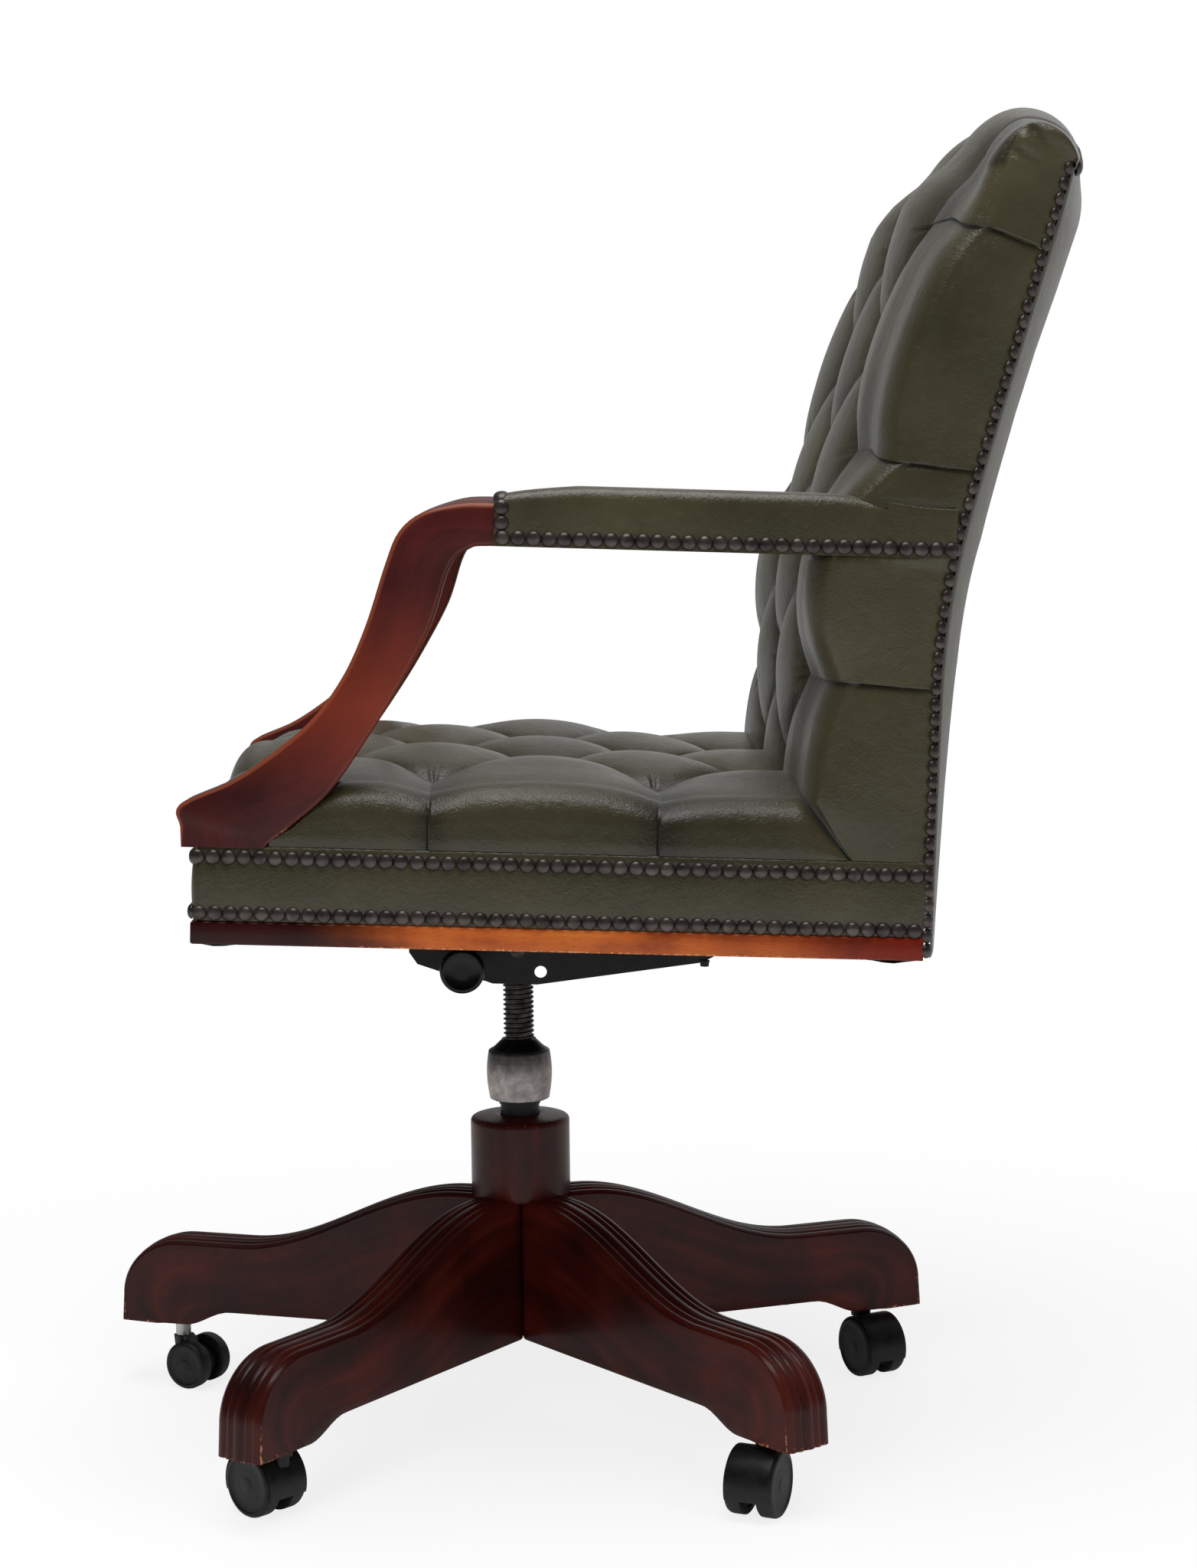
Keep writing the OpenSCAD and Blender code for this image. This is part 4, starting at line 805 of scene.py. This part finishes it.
# the straight pleats also cut into the side wall
side = np.clip((np.abs(points[:, 0]) - 285) / 14, 0, 1)
for line in side_pleats:
    away = points[:, 1] - line
    cut = np.where(away > 0, -1.0 * np.exp(-away / 8), 2.2 * np.exp(away / 3.2)) * (np.abs(away) < 30)
    points[:, 0] -= np.sign(points[:, 0]) * cut * side
    # painted shade along each straight pleat where it cuts into the side wall
    pleat = np.maximum(pleat, side * np.exp(-((away + 0.8) / 1.6) ** 2))
low_side = side * np.exp(-((points[:, 2] - 70) / 7) ** 2)
points[:, 0] -= np.sign(points[:, 0]) * 0.8 * low_side * tucked(points[:, 1] + 231)
seat_cushion = make("buttoned_seat", seat_place(points), grid(len(rings), per_ring), hide, "seat",
                    sharp=75, marks={"pleat": pleat})
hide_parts("seat_cushion")


def buttons(name, places):
    profile = [(8.6, -3), (8.8, -1), (8.5, 0.6), (7.6, 2.0), (6, 3.2), (4, 4.0), (2, 4.4), (0.02, 4.5)]
    dot_points, dot_faces = turn_profile(profile, 28)
    parts = []
    for at, out in places:
        turn = np.array(Vector(out).normalized().to_track_quat("Z", "Y").to_matrix())
        parts.append((dot_points @ turn.T + np.array(at), dot_faces))
    points, faces = together(parts)
    # a little painted shade on the buttons
    return make(name, seat_place(points), faces, hide, "seat", marks={"pleat": np.full(len(points), 0.15)})


lattice = [(x, y) for y in side_pleats for x in (-195, 0, 195)]
lattice += [(x, y) for y in (-150, 18, 184) for x in (-97.5, 97.5)]
buttons("seat_buttons", [((x, y, foot + 34.5), (0, 0, 1)) for x, y in lattice])

# Arms
# Shaped mahogany, bandsawn from thick board: the foot stands on the side rail, sweeps up and back and runs on
# as the rail inside the pad. The edges are eased and worn pale.
arm_mahogany = polished_mahogany("arm_mahogany", "#2b0c0c", "#391110", "#4b1712", "#a56a4a", 0.34, 0.12)
# the light has turned its middle redder, from 550 to 700 mm above the floor
painted, plain = base_colour(arm_mahogany)
rise = add(arm_mahogany, "SeparateXYZ", {0: add(arm_mahogany, "TexCoord").outputs["Object"]}).outputs[2]
sunned = add(arm_mahogany, "ValToRGB", {"Fac": add(arm_mahogany, "MapRange", {
    "Value": rise, "From Min": 0.5, "From Max": 0.78}).outputs[0]}, stops=((0.18, 0.0), (0.4, 1.0), (0.7, 0.0)))
softly = add(arm_mahogany, "Math", {0: sunned.outputs[0], 1: 0.44}, operation="MULTIPLY")
redder = add(arm_mahogany, "MixRGB", {"Fac": softly.outputs[0], "Color1": plain, "Color2": "#84321a"})
edged = add(arm_mahogany, "Attribute", attribute_name="edge").outputs["Fac"]
pale = add(arm_mahogany, "MixRGB", {"Fac": edged, "Color1": redder.outputs[0], "Color2": "#7c3c24"})
arm_mahogany.node_tree.links.new(pale.outputs[0], painted)
arm_thick, arm_inside = 27, 273
arm_front_line = [(-242.5, 70.2), (-243.5, 84), (-244.5, 100), (-208, 118), (-176, 141), (-150, 165), (-129, 196),
                  (-114, 232), (-101, 276), (-92, 299), (-76, 313), (-50, 320), (-24, 321), (60, 321), (150, 321),
                  (262, 321)]
arm_rear_line = [(-184, 70.2), (-175, 77.5), (-164, 86.6), (-137, 112), (-111, 151), (-90, 187.4), (-68, 232),
                 (-55, 275), (-42, 288), (-24, 291), (60, 291), (150, 291), (252, 291)]


def smooth_line(line, steps):
    line = np.array(line, float)
    out = []
    for i in range(len(line) - 1):
        a, b, c, d = line[max(0, i - 1)], line[i], line[i + 1], line[min(len(line) - 1, i + 2)]
        for t in np.linspace(0, 1, steps, endpoint=False):
            out.append((2 * b + (c - a) * t + (2 * a - 5 * b + 4 * c - d) * t * t
                        + (3 * b - a - 3 * c + d) * t ** 3) / 2)
    return np.array(out + [line[-1]])


def along_line(line, shares):
    step = np.concatenate([[0], np.cumsum(np.hypot(*np.diff(line, axis=0).T))])
    return np.column_stack([np.interp(shares * step[-1], step, line[:, k]) for k in (0, 1)])


front_line, rear_line = smooth_line(arm_front_line, 8), smooth_line(arm_rear_line, 8)
# pair the two edges part by part, so that each section stands square to the arm's run
parts_of_arm = [((-240, 70.2), (-190, 70.2)), ((-244, 100), (-177, 78)), ((-176, 141), (-137, 112)),
                ((-129, 196), (-90, 187.4)), ((-114, 232), (-68, 232)), ((-101, 276), (-55, 275)),
                ((-76, 313), (-42, 288)), ((-24, 321), (-24, 291)), ((262, 321), (252, 291))]


def nearest(line, point):
    return int(np.argmin(np.hypot(*(line - np.array(point)).T)))


sections = []
for (fa, ra), (fb, rb) in zip(parts_of_arm[:-1], parts_of_arm[1:]):
    a = front_line[nearest(front_line, fa):nearest(front_line, fb) + 1]
    b = rear_line[nearest(rear_line, ra):nearest(rear_line, rb) + 1]
    n = 22 if fb[0] > 0 else 9
    shares = np.linspace(0, 1, n, endpoint=False)
    sections += list(zip(along_line(a, shares), along_line(b, shares)))
sections.append((front_line[-1], rear_line[-1]))
for s, side in ((1, "left"), (-1, "right")):
    points, grain, wear, pale_edge, run = [], [], [], [], 0
    for k, (a, b) in enumerate(sections):
        if k:
            run += np.linalg.norm((a + b) / 2 - (sections[k - 1][0] + sections[k - 1][1]) / 2)
        width = np.linalg.norm(b - a)
        across = (b - a) / width
        corner = 0.8 + 2.8 * min(1, k / 5)
        ring = []
        for u, v, turn in ((0, 0, 180), (0, 1, 90), (1, 1, 0), (1, 0, -90)):
            for t in (0, 22, 45, 68, 90):
                angle = math.radians(turn - t + 90)
                cu, cv = (corner if u == 0 else arm_thick - corner), (corner if v == 0 else width - corner)
                ring.append((cu + corner * math.cos(angle), cv + corner * math.sin(angle), t))
        ring.sort(key=lambda p: math.atan2(p[1] - width / 2, p[0] - arm_thick / 2))
        for u, v, t in ring:
            y, z = a + across * v
            z += 6 * float(ease((a[0] + 88) / 60)) * (1 - u / arm_thick) * max(0, 1 - 2 * v / width)
            points.append((s * (arm_inside + u), y, z))
            grain.append((run / 1000, (v + u) / 1000))
            edge = 1 if 10 < t < 80 else 0
            wear.append(0.3 + 0.16 * edge + 0.2 * (z < 90) * edge)
            pale_edge.append(0.6 if edge and v < 4 else 0.15 * edge)
    arm = make(f"shaped_arm_{side}", seat_place(points), capped(len(sections), 20), arm_mahogany, "seat",
               sharp=50, grain=np.array(grain) + (0.3 * s, 0.1),
               marks={"wear": wear, "edge": pale_edge})
    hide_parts(f"arm_{side}")


# Arm pads
# Foam on the rail under a hide that is pulled round it and nailed along the underside's edge; at the rear it
# runs over the side of the back to the last nails.
rake, bend_low, bend_r = math.radians(14.5), 190, 560


def rear_line_y(z):
    # the rear edge of the back's side: upright at first, then bent back to its rake
    z = np.asarray(z, float)
    end = bend_low + bend_r * math.sin(rake)
    bend = bend_r - np.sqrt(bend_r ** 2 - (np.clip(z, bend_low, end) - bend_low) ** 2)
    return 298.5 + bend + np.maximum(0, z - end) * math.tan(rake)


pad_nails = []
for s, side in ((1, "left"), (-1, "right")):
    points, pleats = [], []
    ys = np.concatenate([[-24, -23.6, -22.5, -20, -16, -10], np.linspace(-4, 252, 66), [256, 256.4],
                         np.linspace(262, 306, 12)])
    for y in ys:
        front = min(1, max(0, (y + 24) / 60) ** 0.5)
        top = 325.5 + 10 * front - 9 * float(ease((y - 205) / 95))
        inner = 257 if y < 256.2 else 299.4
        outer = 303 + 0.5 * math.sin(y / 23) if y > -20 else 301.4 + 0.32 * (y + 24)
        mid, half = (outer + inner) / 2, (outer - inner) / 2
        pull = 0.55 * tucked(y + 14)
        for z in (291, 293, 296.5, 300, 305, 311):
            near = math.exp(-((z - 296.5) / 4) ** 2)
            points.append((s * (outer - pull * near), y, z))
            # painted shade where the hide is drawn in under each nail
            pleats.append(0.5 * near * pull)
        for a in np.linspace(8, 172, 18):
            c, d = math.cos(math.radians(a)), math.sin(math.radians(a))
            points.append((s * (mid + half * math.copysign(abs(c) ** 0.42, c)), y, mix(315, top, d ** 0.62)))
            pleats.append(0)
        for z in (311, 300, 296.5, 291):
            points.append((s * inner, y, z))
            pleats.append(0)
    pad = make(f"arm_pad_hide_{side}", seat_place(points), capped(len(ys), len(points) // len(ys)), hide, "seat",
               sharp=60, marks={"pleat": pleats})
    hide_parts(f"arm_pad_{side}")
    pad_nails += [((s * 302.9, y, z), (s, 0, 0)) for y, z in every((-18, 297), (303, 297.5))]
    pad_nails += [((s * 302.2, y, z), (s, -0.12, 0)) for y, z in every((-19, 307.5), (-19.2, 318.5), 11)]
    pad_nails += [((s * 296, -19.5, 325.5), (0.6 * s, -0.2, 0.8)), ((s * 286.5, -19.5, 327), (0.1 * s, -0.2, 1))]
    pad_nails += [((s * 257.2, y, z), (-s, 0, 0)) for y, z in every((-18, 297), (196, 297.5))]
nails("arm_pad_nails", pad_nails)


# Back cushion
# Buttoned like the seat and bent back over the upper frame; one hide runs over the front, round both sides to
# the rear nails, and over the rolled crest, gathered at the corners. The arms pass through its sides.
back_half, back_cell = 299, (90, 84.5)


def crest_z(x):
    return 600 + 42 * ease(1.2 * (1 - np.abs(x) / back_half))


def in_back_lattice(x, z):
    return np.clip(x, -180, 180), np.clip(z - 200, -84.5, 338)


def back_depth_at(x, z):
    xc, zc = in_back_lattice(x, z)
    inner = np.where(np.abs(x - xc) < 1, 1, 0.3) * np.where(np.abs(z - 200 - zc) < 1, 1, 0.5)
    thick = 84 - 8 * ease((z - 300) / 200) - 5 * ease((np.abs(x) - 190) / 50)
    # it slopes back under the crest, less so at the corners
    thick = thick - np.interp(crest_z(x) - z, (30, 37, 44, 50, 60, 80, 100), (31, 27.5, 24.5, 19, 10, 1, 0)) * (
        1 - 0.85 * (np.abs(x) / back_half) ** 3)
    # the near side is squeezed out over and under the arm
    thick = thick + 9 * ease((x - 200) / 50) * np.exp(-((z - 270) / 60) ** 2)
    rise = puff(xc, zc, *back_cell, 0.42) * (1 - 0.5 * np.clip(1 - (crest_z(x) - z) / 70, 0, 1))
    return (thick + 14 * rise - 10 * pit(xc, zc, *back_cell) * inner
            + 0.9 * gathers(xc, zc, *back_cell) * inner)


def lapped(away):
    # a straight pleat, by the height above its line: the upper leather stands out over the lower
    return np.where(away > 0, 1.5 * np.exp(-away / 9), -1.7 * np.exp(away / 4.5)) * (np.abs(away) < 30)


def pleat_line(away):
    return np.exp(-((away + 1.3) / 2.4) ** 2)


creases = (200, 369, 539)
heights = np.concatenate([np.linspace(foot, 286, 48), [291, 292, 301, 310, 318, 326, 327.4, 331, 336, 342],
                          348 + 230 * np.linspace(0, 1, 58)] + [
    [c - 6, c - 3.4, c - 1.8, c - 0.8, c, c + 0.8, c + 1.8, c + 3.4, c + 6] for c in creases])
heights = np.unique(np.round(heights, 1))
arc = np.radians(np.linspace(26, 150, 26))
roll_from, roll_wide, roll_deep = 267, 32, 16
half_xs = list(np.linspace(0, roll_from, 67))
half_xs += [roll_from + roll_wide * math.sin(a) for a in np.linspace(0.12, np.pi / 2, 13)]
xs = [-x for x in half_xs[::-1]] + half_xs[1:]
columns = []
for x in xs:
    # the side's corner is a quarter round, and a column's share is how far it has dropped on it
    share = 1 - math.cos(math.asin(min(1, max(0, abs(x) - roll_from) / roll_wide)))
    top = float(crest_z(x))
    corner = (abs(x) / back_half) ** 1.4
    hs = np.where(heights > 545, 545 + (heights - 545) * (top - 30 - 545) / (578 - 545), heights)
    deep = back_depth_at(np.full_like(hs, x), hs)
    # the seat presses into its foot
    deep = np.minimum(deep, 60 + 0.78 * (hs - foot) + np.maximum(0, hs - 128) * 3)
    deep = deep - roll_deep * share * (0.15 + 0.85 * ease((hs - 78) / 70))
    for line in creases:
        deep = deep + float(ease((abs(x) - 222) / 24)) * lapped(hs - line)
    if abs(x) > 256:
        # room for the arm
        deep = np.where((hs > 291.5) & (hs < 327), np.minimum(deep, 38), deep)
    y = rear_line_y(hs) - deep
    # the straight pleats sink towards the side
    sunk = np.interp(hs, (180, 331, 369, 539, 572), (0, 0, 11, 13, 4)) * min(1, max(0, (abs(x) - 228) / 71))
    column = [(x, a, b) for a, b in zip(y, hs - sunk)]
    # over the crest: half an oval, 50 mm high, that leans back less at the corners
    middle, wide = mix(15, 36, corner), mix(44, 37, corner)
    start = math.radians(23.6)
    last = -(22.5 * (1 - (abs(x) / back_half) ** 3.2) + 2.5)
    seam = 3.2 * max(math.exp(-((abs(x) - line) / 3.6) ** 2) for line in (0, 180))
    for a in arc:
        z = top - 50 + (50 - seam) * math.sin(a)
        if a < np.pi / 2:
            d = middle + wide * math.cos(a) + (deep[-1] - middle - wide * math.cos(start)) * (
                1 - (a - start) / (np.pi / 2 - start))
        else:
            d = middle - (middle - last) * math.cos(np.pi - a) / math.cos(math.radians(30))
        column.append((x, float(rear_line_y(z)) - d, z))
    column.append((x, column[-1][1] - 2, top - 31))
    columns.append(column)
n = len(columns[0])
points = np.array([p for column in columns for p in column])
# painted shade along the pleats and round the buttons
pleats = pleat_marks(in_back_lattice(points[:, 0], points[:, 2]), back_cell)
corner = ease((np.abs(points[:, 0]) - 205) / 40)
above_crest = 640
levels = np.tile(np.concatenate([heights, np.full(len(arc) + 1, above_crest)]), len(columns))
# towards the corners the painted shade follows the straight pleats instead
for line in creases:
    pleats = np.where(np.abs(levels - line) < 40, mix(pleats, pleat_line(levels - line), corner), pleats)
# painted shade along the seam over the crest
pleats[len(heights) + int(np.argmin(np.abs(arc - math.radians(94))))::n] = 0.75  # a seam along the crest
faces = grid(len(columns), n)
# the sides: from each end column back to the rear nails. The straight pleats run down to the rear over them,
# the upper leather lapped over the lower; a soft fold lies over the arm; the top corner is gathered.
walls = 22
# the heights of the end columns before their pleats sank
level = np.concatenate([hs, np.full(len(arc) + 1, top)])
for s, first in ((1, (len(columns) - 1) * n), (-1, 0)):
    edge = points[first:first + n]
    start = len(points)
    rows, marks = [], []
    for k in range(1, walls + 1):
        t = k / walls
        for j, (x, y, z) in enumerate(edge):
            over = min(1.0, max(0.0, (j - len(heights) + 1) / len(arc)))
            rear_z = float(np.interp(level[j], (foot, 200, 331, 369, 539, 570), (foot, 196, 324, 353, 510, 562)))
            if over:
                rear_z = 562 + 11 * over
            rear_y = float(rear_line_y(rear_z)) + 0.4
            yy, zz = mix(y, rear_y, t), mix(z, rear_z, t)
            lap, dark = 0, 0
            for line, strong in ((200, 1), (369, 1), (539, 1), (333, 0.45)):
                away = level[j] - line
                fade = strong * (1 - t ** 6)
                if abs(away) < 30:
                    lap += fade * float(lapped(away))
                    dark = max(dark, fade * float(pleat_line(away)))
            tuck = float(tucked(zz))
            crinkle = 2.8 * math.sin(math.pi * min(1, over * 1.15)) ** 0.5 * max(0, 1 - t / 0.55)
            crinkle *= min(1, 0.2 + 6 * t) * math.sin(20 * over + 2.4 * math.sin(5 * over) + 3 * t)
            panel = np.interp(z if over else level[j], (31, 200, 369, 539, 640), (0, 1, 2, 3, 4))
            between = abs(math.sin(math.pi * float(panel))) ** 0.4
            plump = 3.8 * math.sin(math.pi * t ** 0.62) * between * min(1, max(0, zz - foot) / 30)
            out = 298.6 + lap + plump - 0.9 * tuck * t ** 9 - 2.4 * t ** 10 + crinkle
            rows.append((s * out, yy, zz))
            # painted shade under each lapped pleat, at the nail tucks and in the hollows of the corner's crinkles
            marks.append(min(1, max(dark, 0.5 * tuck * t ** 12, max(0, -0.4 * crinkle))))
    points = np.vstack([points, rows])
    pleats = np.concatenate([pleats, marks])
    for k in range(walls):
        a = first if k == 0 else start + (k - 1) * n
        b = start + k * n
        faces += [(a + j, a + j + 1, b + j + 1, b + j) for j in range(n - 1)]
back_cushion = make("buttoned_back", seat_place(points), faces, hide, "seat", sharp=80,
                    marks={"pleat": pleats})
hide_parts("back_cushion", "back_side_covers")
back_lattice = [(x, z) for z in (200, 369, 538) for x in (-180, 0, 180)]
back_lattice += [(x, z) for z in (115.5, 284.5, 453.5) for x in (-90, 90)]
places = []
for x, z in back_lattice:
    d = float(back_depth_at(np.array([x]), np.array([z]))[0])
    tilt = rake * min(1, max(0, (z - bend_low) / 140))
    places.append(((x, float(rear_line_y(z)) - d + 1.5, z), (0, -math.cos(tilt), math.sin(tilt))))
buttons("back_buttons", places)
rear_nails = []
for s in (1, -1):
    z = 7.0
    while z < 576:
        slope = float(rear_line_y(z + 1) - rear_line_y(z))
        rear_nails.append(((s * 296.4, float(rear_line_y(z)) - 1.8, z), (0.64 * s, 0.77, -0.77 * slope)))
        z += nail_pitch / math.hypot(1, slope)
under_crest = 29
for x in np.arange(-280, 281, nail_pitch):
    z = float(crest_z(x)) - under_crest
    bowed = 22.5 * (1 - (abs(x) / back_half) ** 3.2)
    rear_nails.append(((x, float(rear_line_y(z)) + bowed + 2, z), (0, 0.95, -0.1)))
nails("rear_nails", rear_nails)

# Outside back
# A plain hide over a thin pad across the whole rear, bowed outwards, its edges folded in under the nails of
# both sides and the crest.
xs = np.concatenate([[-297.5], np.linspace(-296, 296, 96), [297.5]])
ts = np.concatenate([[0, 0.004], np.linspace(0.012, 0.99, 90), [1.0]])
bow_on = ((0, 73, 120, 167, 214, 307, 354, 400, 447, 493, 539, 600),
          (17, 20, 22, 25, 29, 33, 31, 30, 31, 34, 36, 36))
points, pleats = [], []
for t in ts:
    for x in xs:
        u = abs(x) / back_half
        top = float(crest_z(x)) - under_crest
        z = 1.5 + (top - 1.5) * t
        bow = min(float(np.interp(z, *bow_on)), float(np.interp(top - z, (0, 11, 35, 70), (17, 25, 34, 40))))
        bow *= (1 - u ** 3.2) / 0.834
        ripple = 0.9 * math.sin(x / 41 + 2.2 * math.sin(z / 90)) * math.sin(math.pi * t) * (1 - u ** 6)
        edge = 1.2 if 0.004 <= t < 1 and abs(x) < 297 else 0
        points.append((x, float(rear_line_y(z)) + 0.2 + edge + bow + ripple, z))
        # painted shade along both side edges, where the hide folds in under the nails
        pleats.append(0.6 * max(0, 1 - (back_half - abs(x)) / 9))
panel = make("outside_back_hide", seat_place(points), grid(len(ts), len(xs)), hide, "seat",
             marks={"pleat": pleats})
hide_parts("outside_back")

# Studio
# A plain pale floor that takes the chair's shadow and fades to white between 0.45 and 1.25 m from the column,
# soft lamps over and beside the chair, and white all round.
floor_paint = surface("matt_white_paint")
place = add(floor_paint, "TexCoord").outputs["Object"]
reach = add(floor_paint, "VectorMath", {0: place}, operation="LENGTH")
far = add(floor_paint, "MapRange", {"Value": reach.outputs["Value"], "From Min": 0.45, "From Max": 1.25},
          interpolation_type="SMOOTHSTEP")
far = add(floor_paint, "MapRange", {"Value": far.outputs[0], "To Min": 0.8})
rays = add(floor_paint, "LightPath")
seen = add(floor_paint, "Math", {0: far.outputs[0], 1: rays.outputs["Is Camera Ray"]}, operation="MULTIPLY")
matt = add(floor_paint, "BsdfDiffuse", {"Color": "#f4f4f4"})
white = add(floor_paint, "Emission", {"Color": (1, 1, 1, 1), "Strength": 1.0})
both = add(floor_paint, "MixShader", {0: seen.outputs[0], 1: matt.outputs[0], 2: white.outputs[0]})
add(floor_paint, "OutputMaterial", {"Surface": both.outputs[0]})
floor_mesh = bpy.data.meshes.new("floor")
angles = np.linspace(0, 2 * np.pi, 96, endpoint=False)
floor_mesh.from_pydata([(60 * math.cos(a), 60 * math.sin(a), 0) for a in angles], [], [tuple(range(96))])
floor_mesh.materials.append(floor_paint)
floor = bpy.data.objects.new("floor", floor_mesh)
scene.collection.objects.link(floor)
world = bpy.data.worlds.new("studio")
world.use_nodes = True
world.node_tree.nodes.clear()
scene.world = world
rays = add(world, "LightPath")
direct = add(world, "Math", {0: rays.outputs["Is Camera Ray"], 1: rays.outputs["Is Glossy Ray"]}, operation="MAXIMUM")
direct = add(world, "Math", {0: direct.outputs[0], 1: rays.outputs["Is Transmission Ray"]}, operation="MAXIMUM")
# metal mirrors a white backdrop behind the chair and a dim side towards the camera
toward = add(world, "SeparateXYZ", {0: add(world, "TexCoord").outputs["Generated"]})
sheet = add(world, "MapRange", {"Value": toward.outputs[0], "From Min": 0.2, "From Max": -0.8},
            interpolation_type="SMOOTHSTEP")
side = add(world, "MapRange", {"Value": toward.outputs[1], "From Min": -0.35, "From Max": 0.2, "To Min": 0.12},
           interpolation_type="SMOOTHSTEP")
sheet = add(world, "Math", {0: sheet.outputs[0], 1: side.outputs[0]}, operation="MULTIPLY")
sheet = add(world, "MapRange", {"Value": sheet.outputs[0], "To Min": 0.05, "To Max": 0.7})
sheet = add(world, "Math", {0: sheet.outputs[0], 1: rays.outputs["Is Camera Ray"]}, operation="MAXIMUM")
strength = add(world, "MixRGB", {"Fac": direct.outputs[0], "Color1": (0.45, 0.45, 0.45, 1), "Color2": sheet.outputs[0]})
glow = add(world, "Background", {"Color": (1, 1, 1, 1), "Strength": strength.outputs[0]})
add(world, "OutputWorld", {"Surface": glow.outputs[0]})


def softbox(name, at, aim, size, power, mirrored=True):
    lamp = bpy.data.lights.new(name, "AREA")
    lamp.shape = "RECTANGLE"
    lamp.size, lamp.size_y = size
    lamp.energy = power
    made = bpy.data.objects.new(name, lamp)
    made.location = at
    made.visible_glossy = mirrored
    made.rotation_euler = (Vector(aim) - Vector(at)).to_track_quat("-Z", "Y").to_euler()
    scene.collection.objects.link(made)


softbox("overhead", (0.5, 0.0, 2.7), (0, 0, 0.4), (1.5, 2.0), 50)
softbox("front_left", (3.0, -1.4, 1.7), (0, 0, 0.6), (1.6, 1.6), 38, False)
softbox("rear_left", (2.4, 2.4, 1.5), (0, 0, 0.6), (1.4, 1.6), 24, False)
scene.view_settings.view_transform = "Standard"
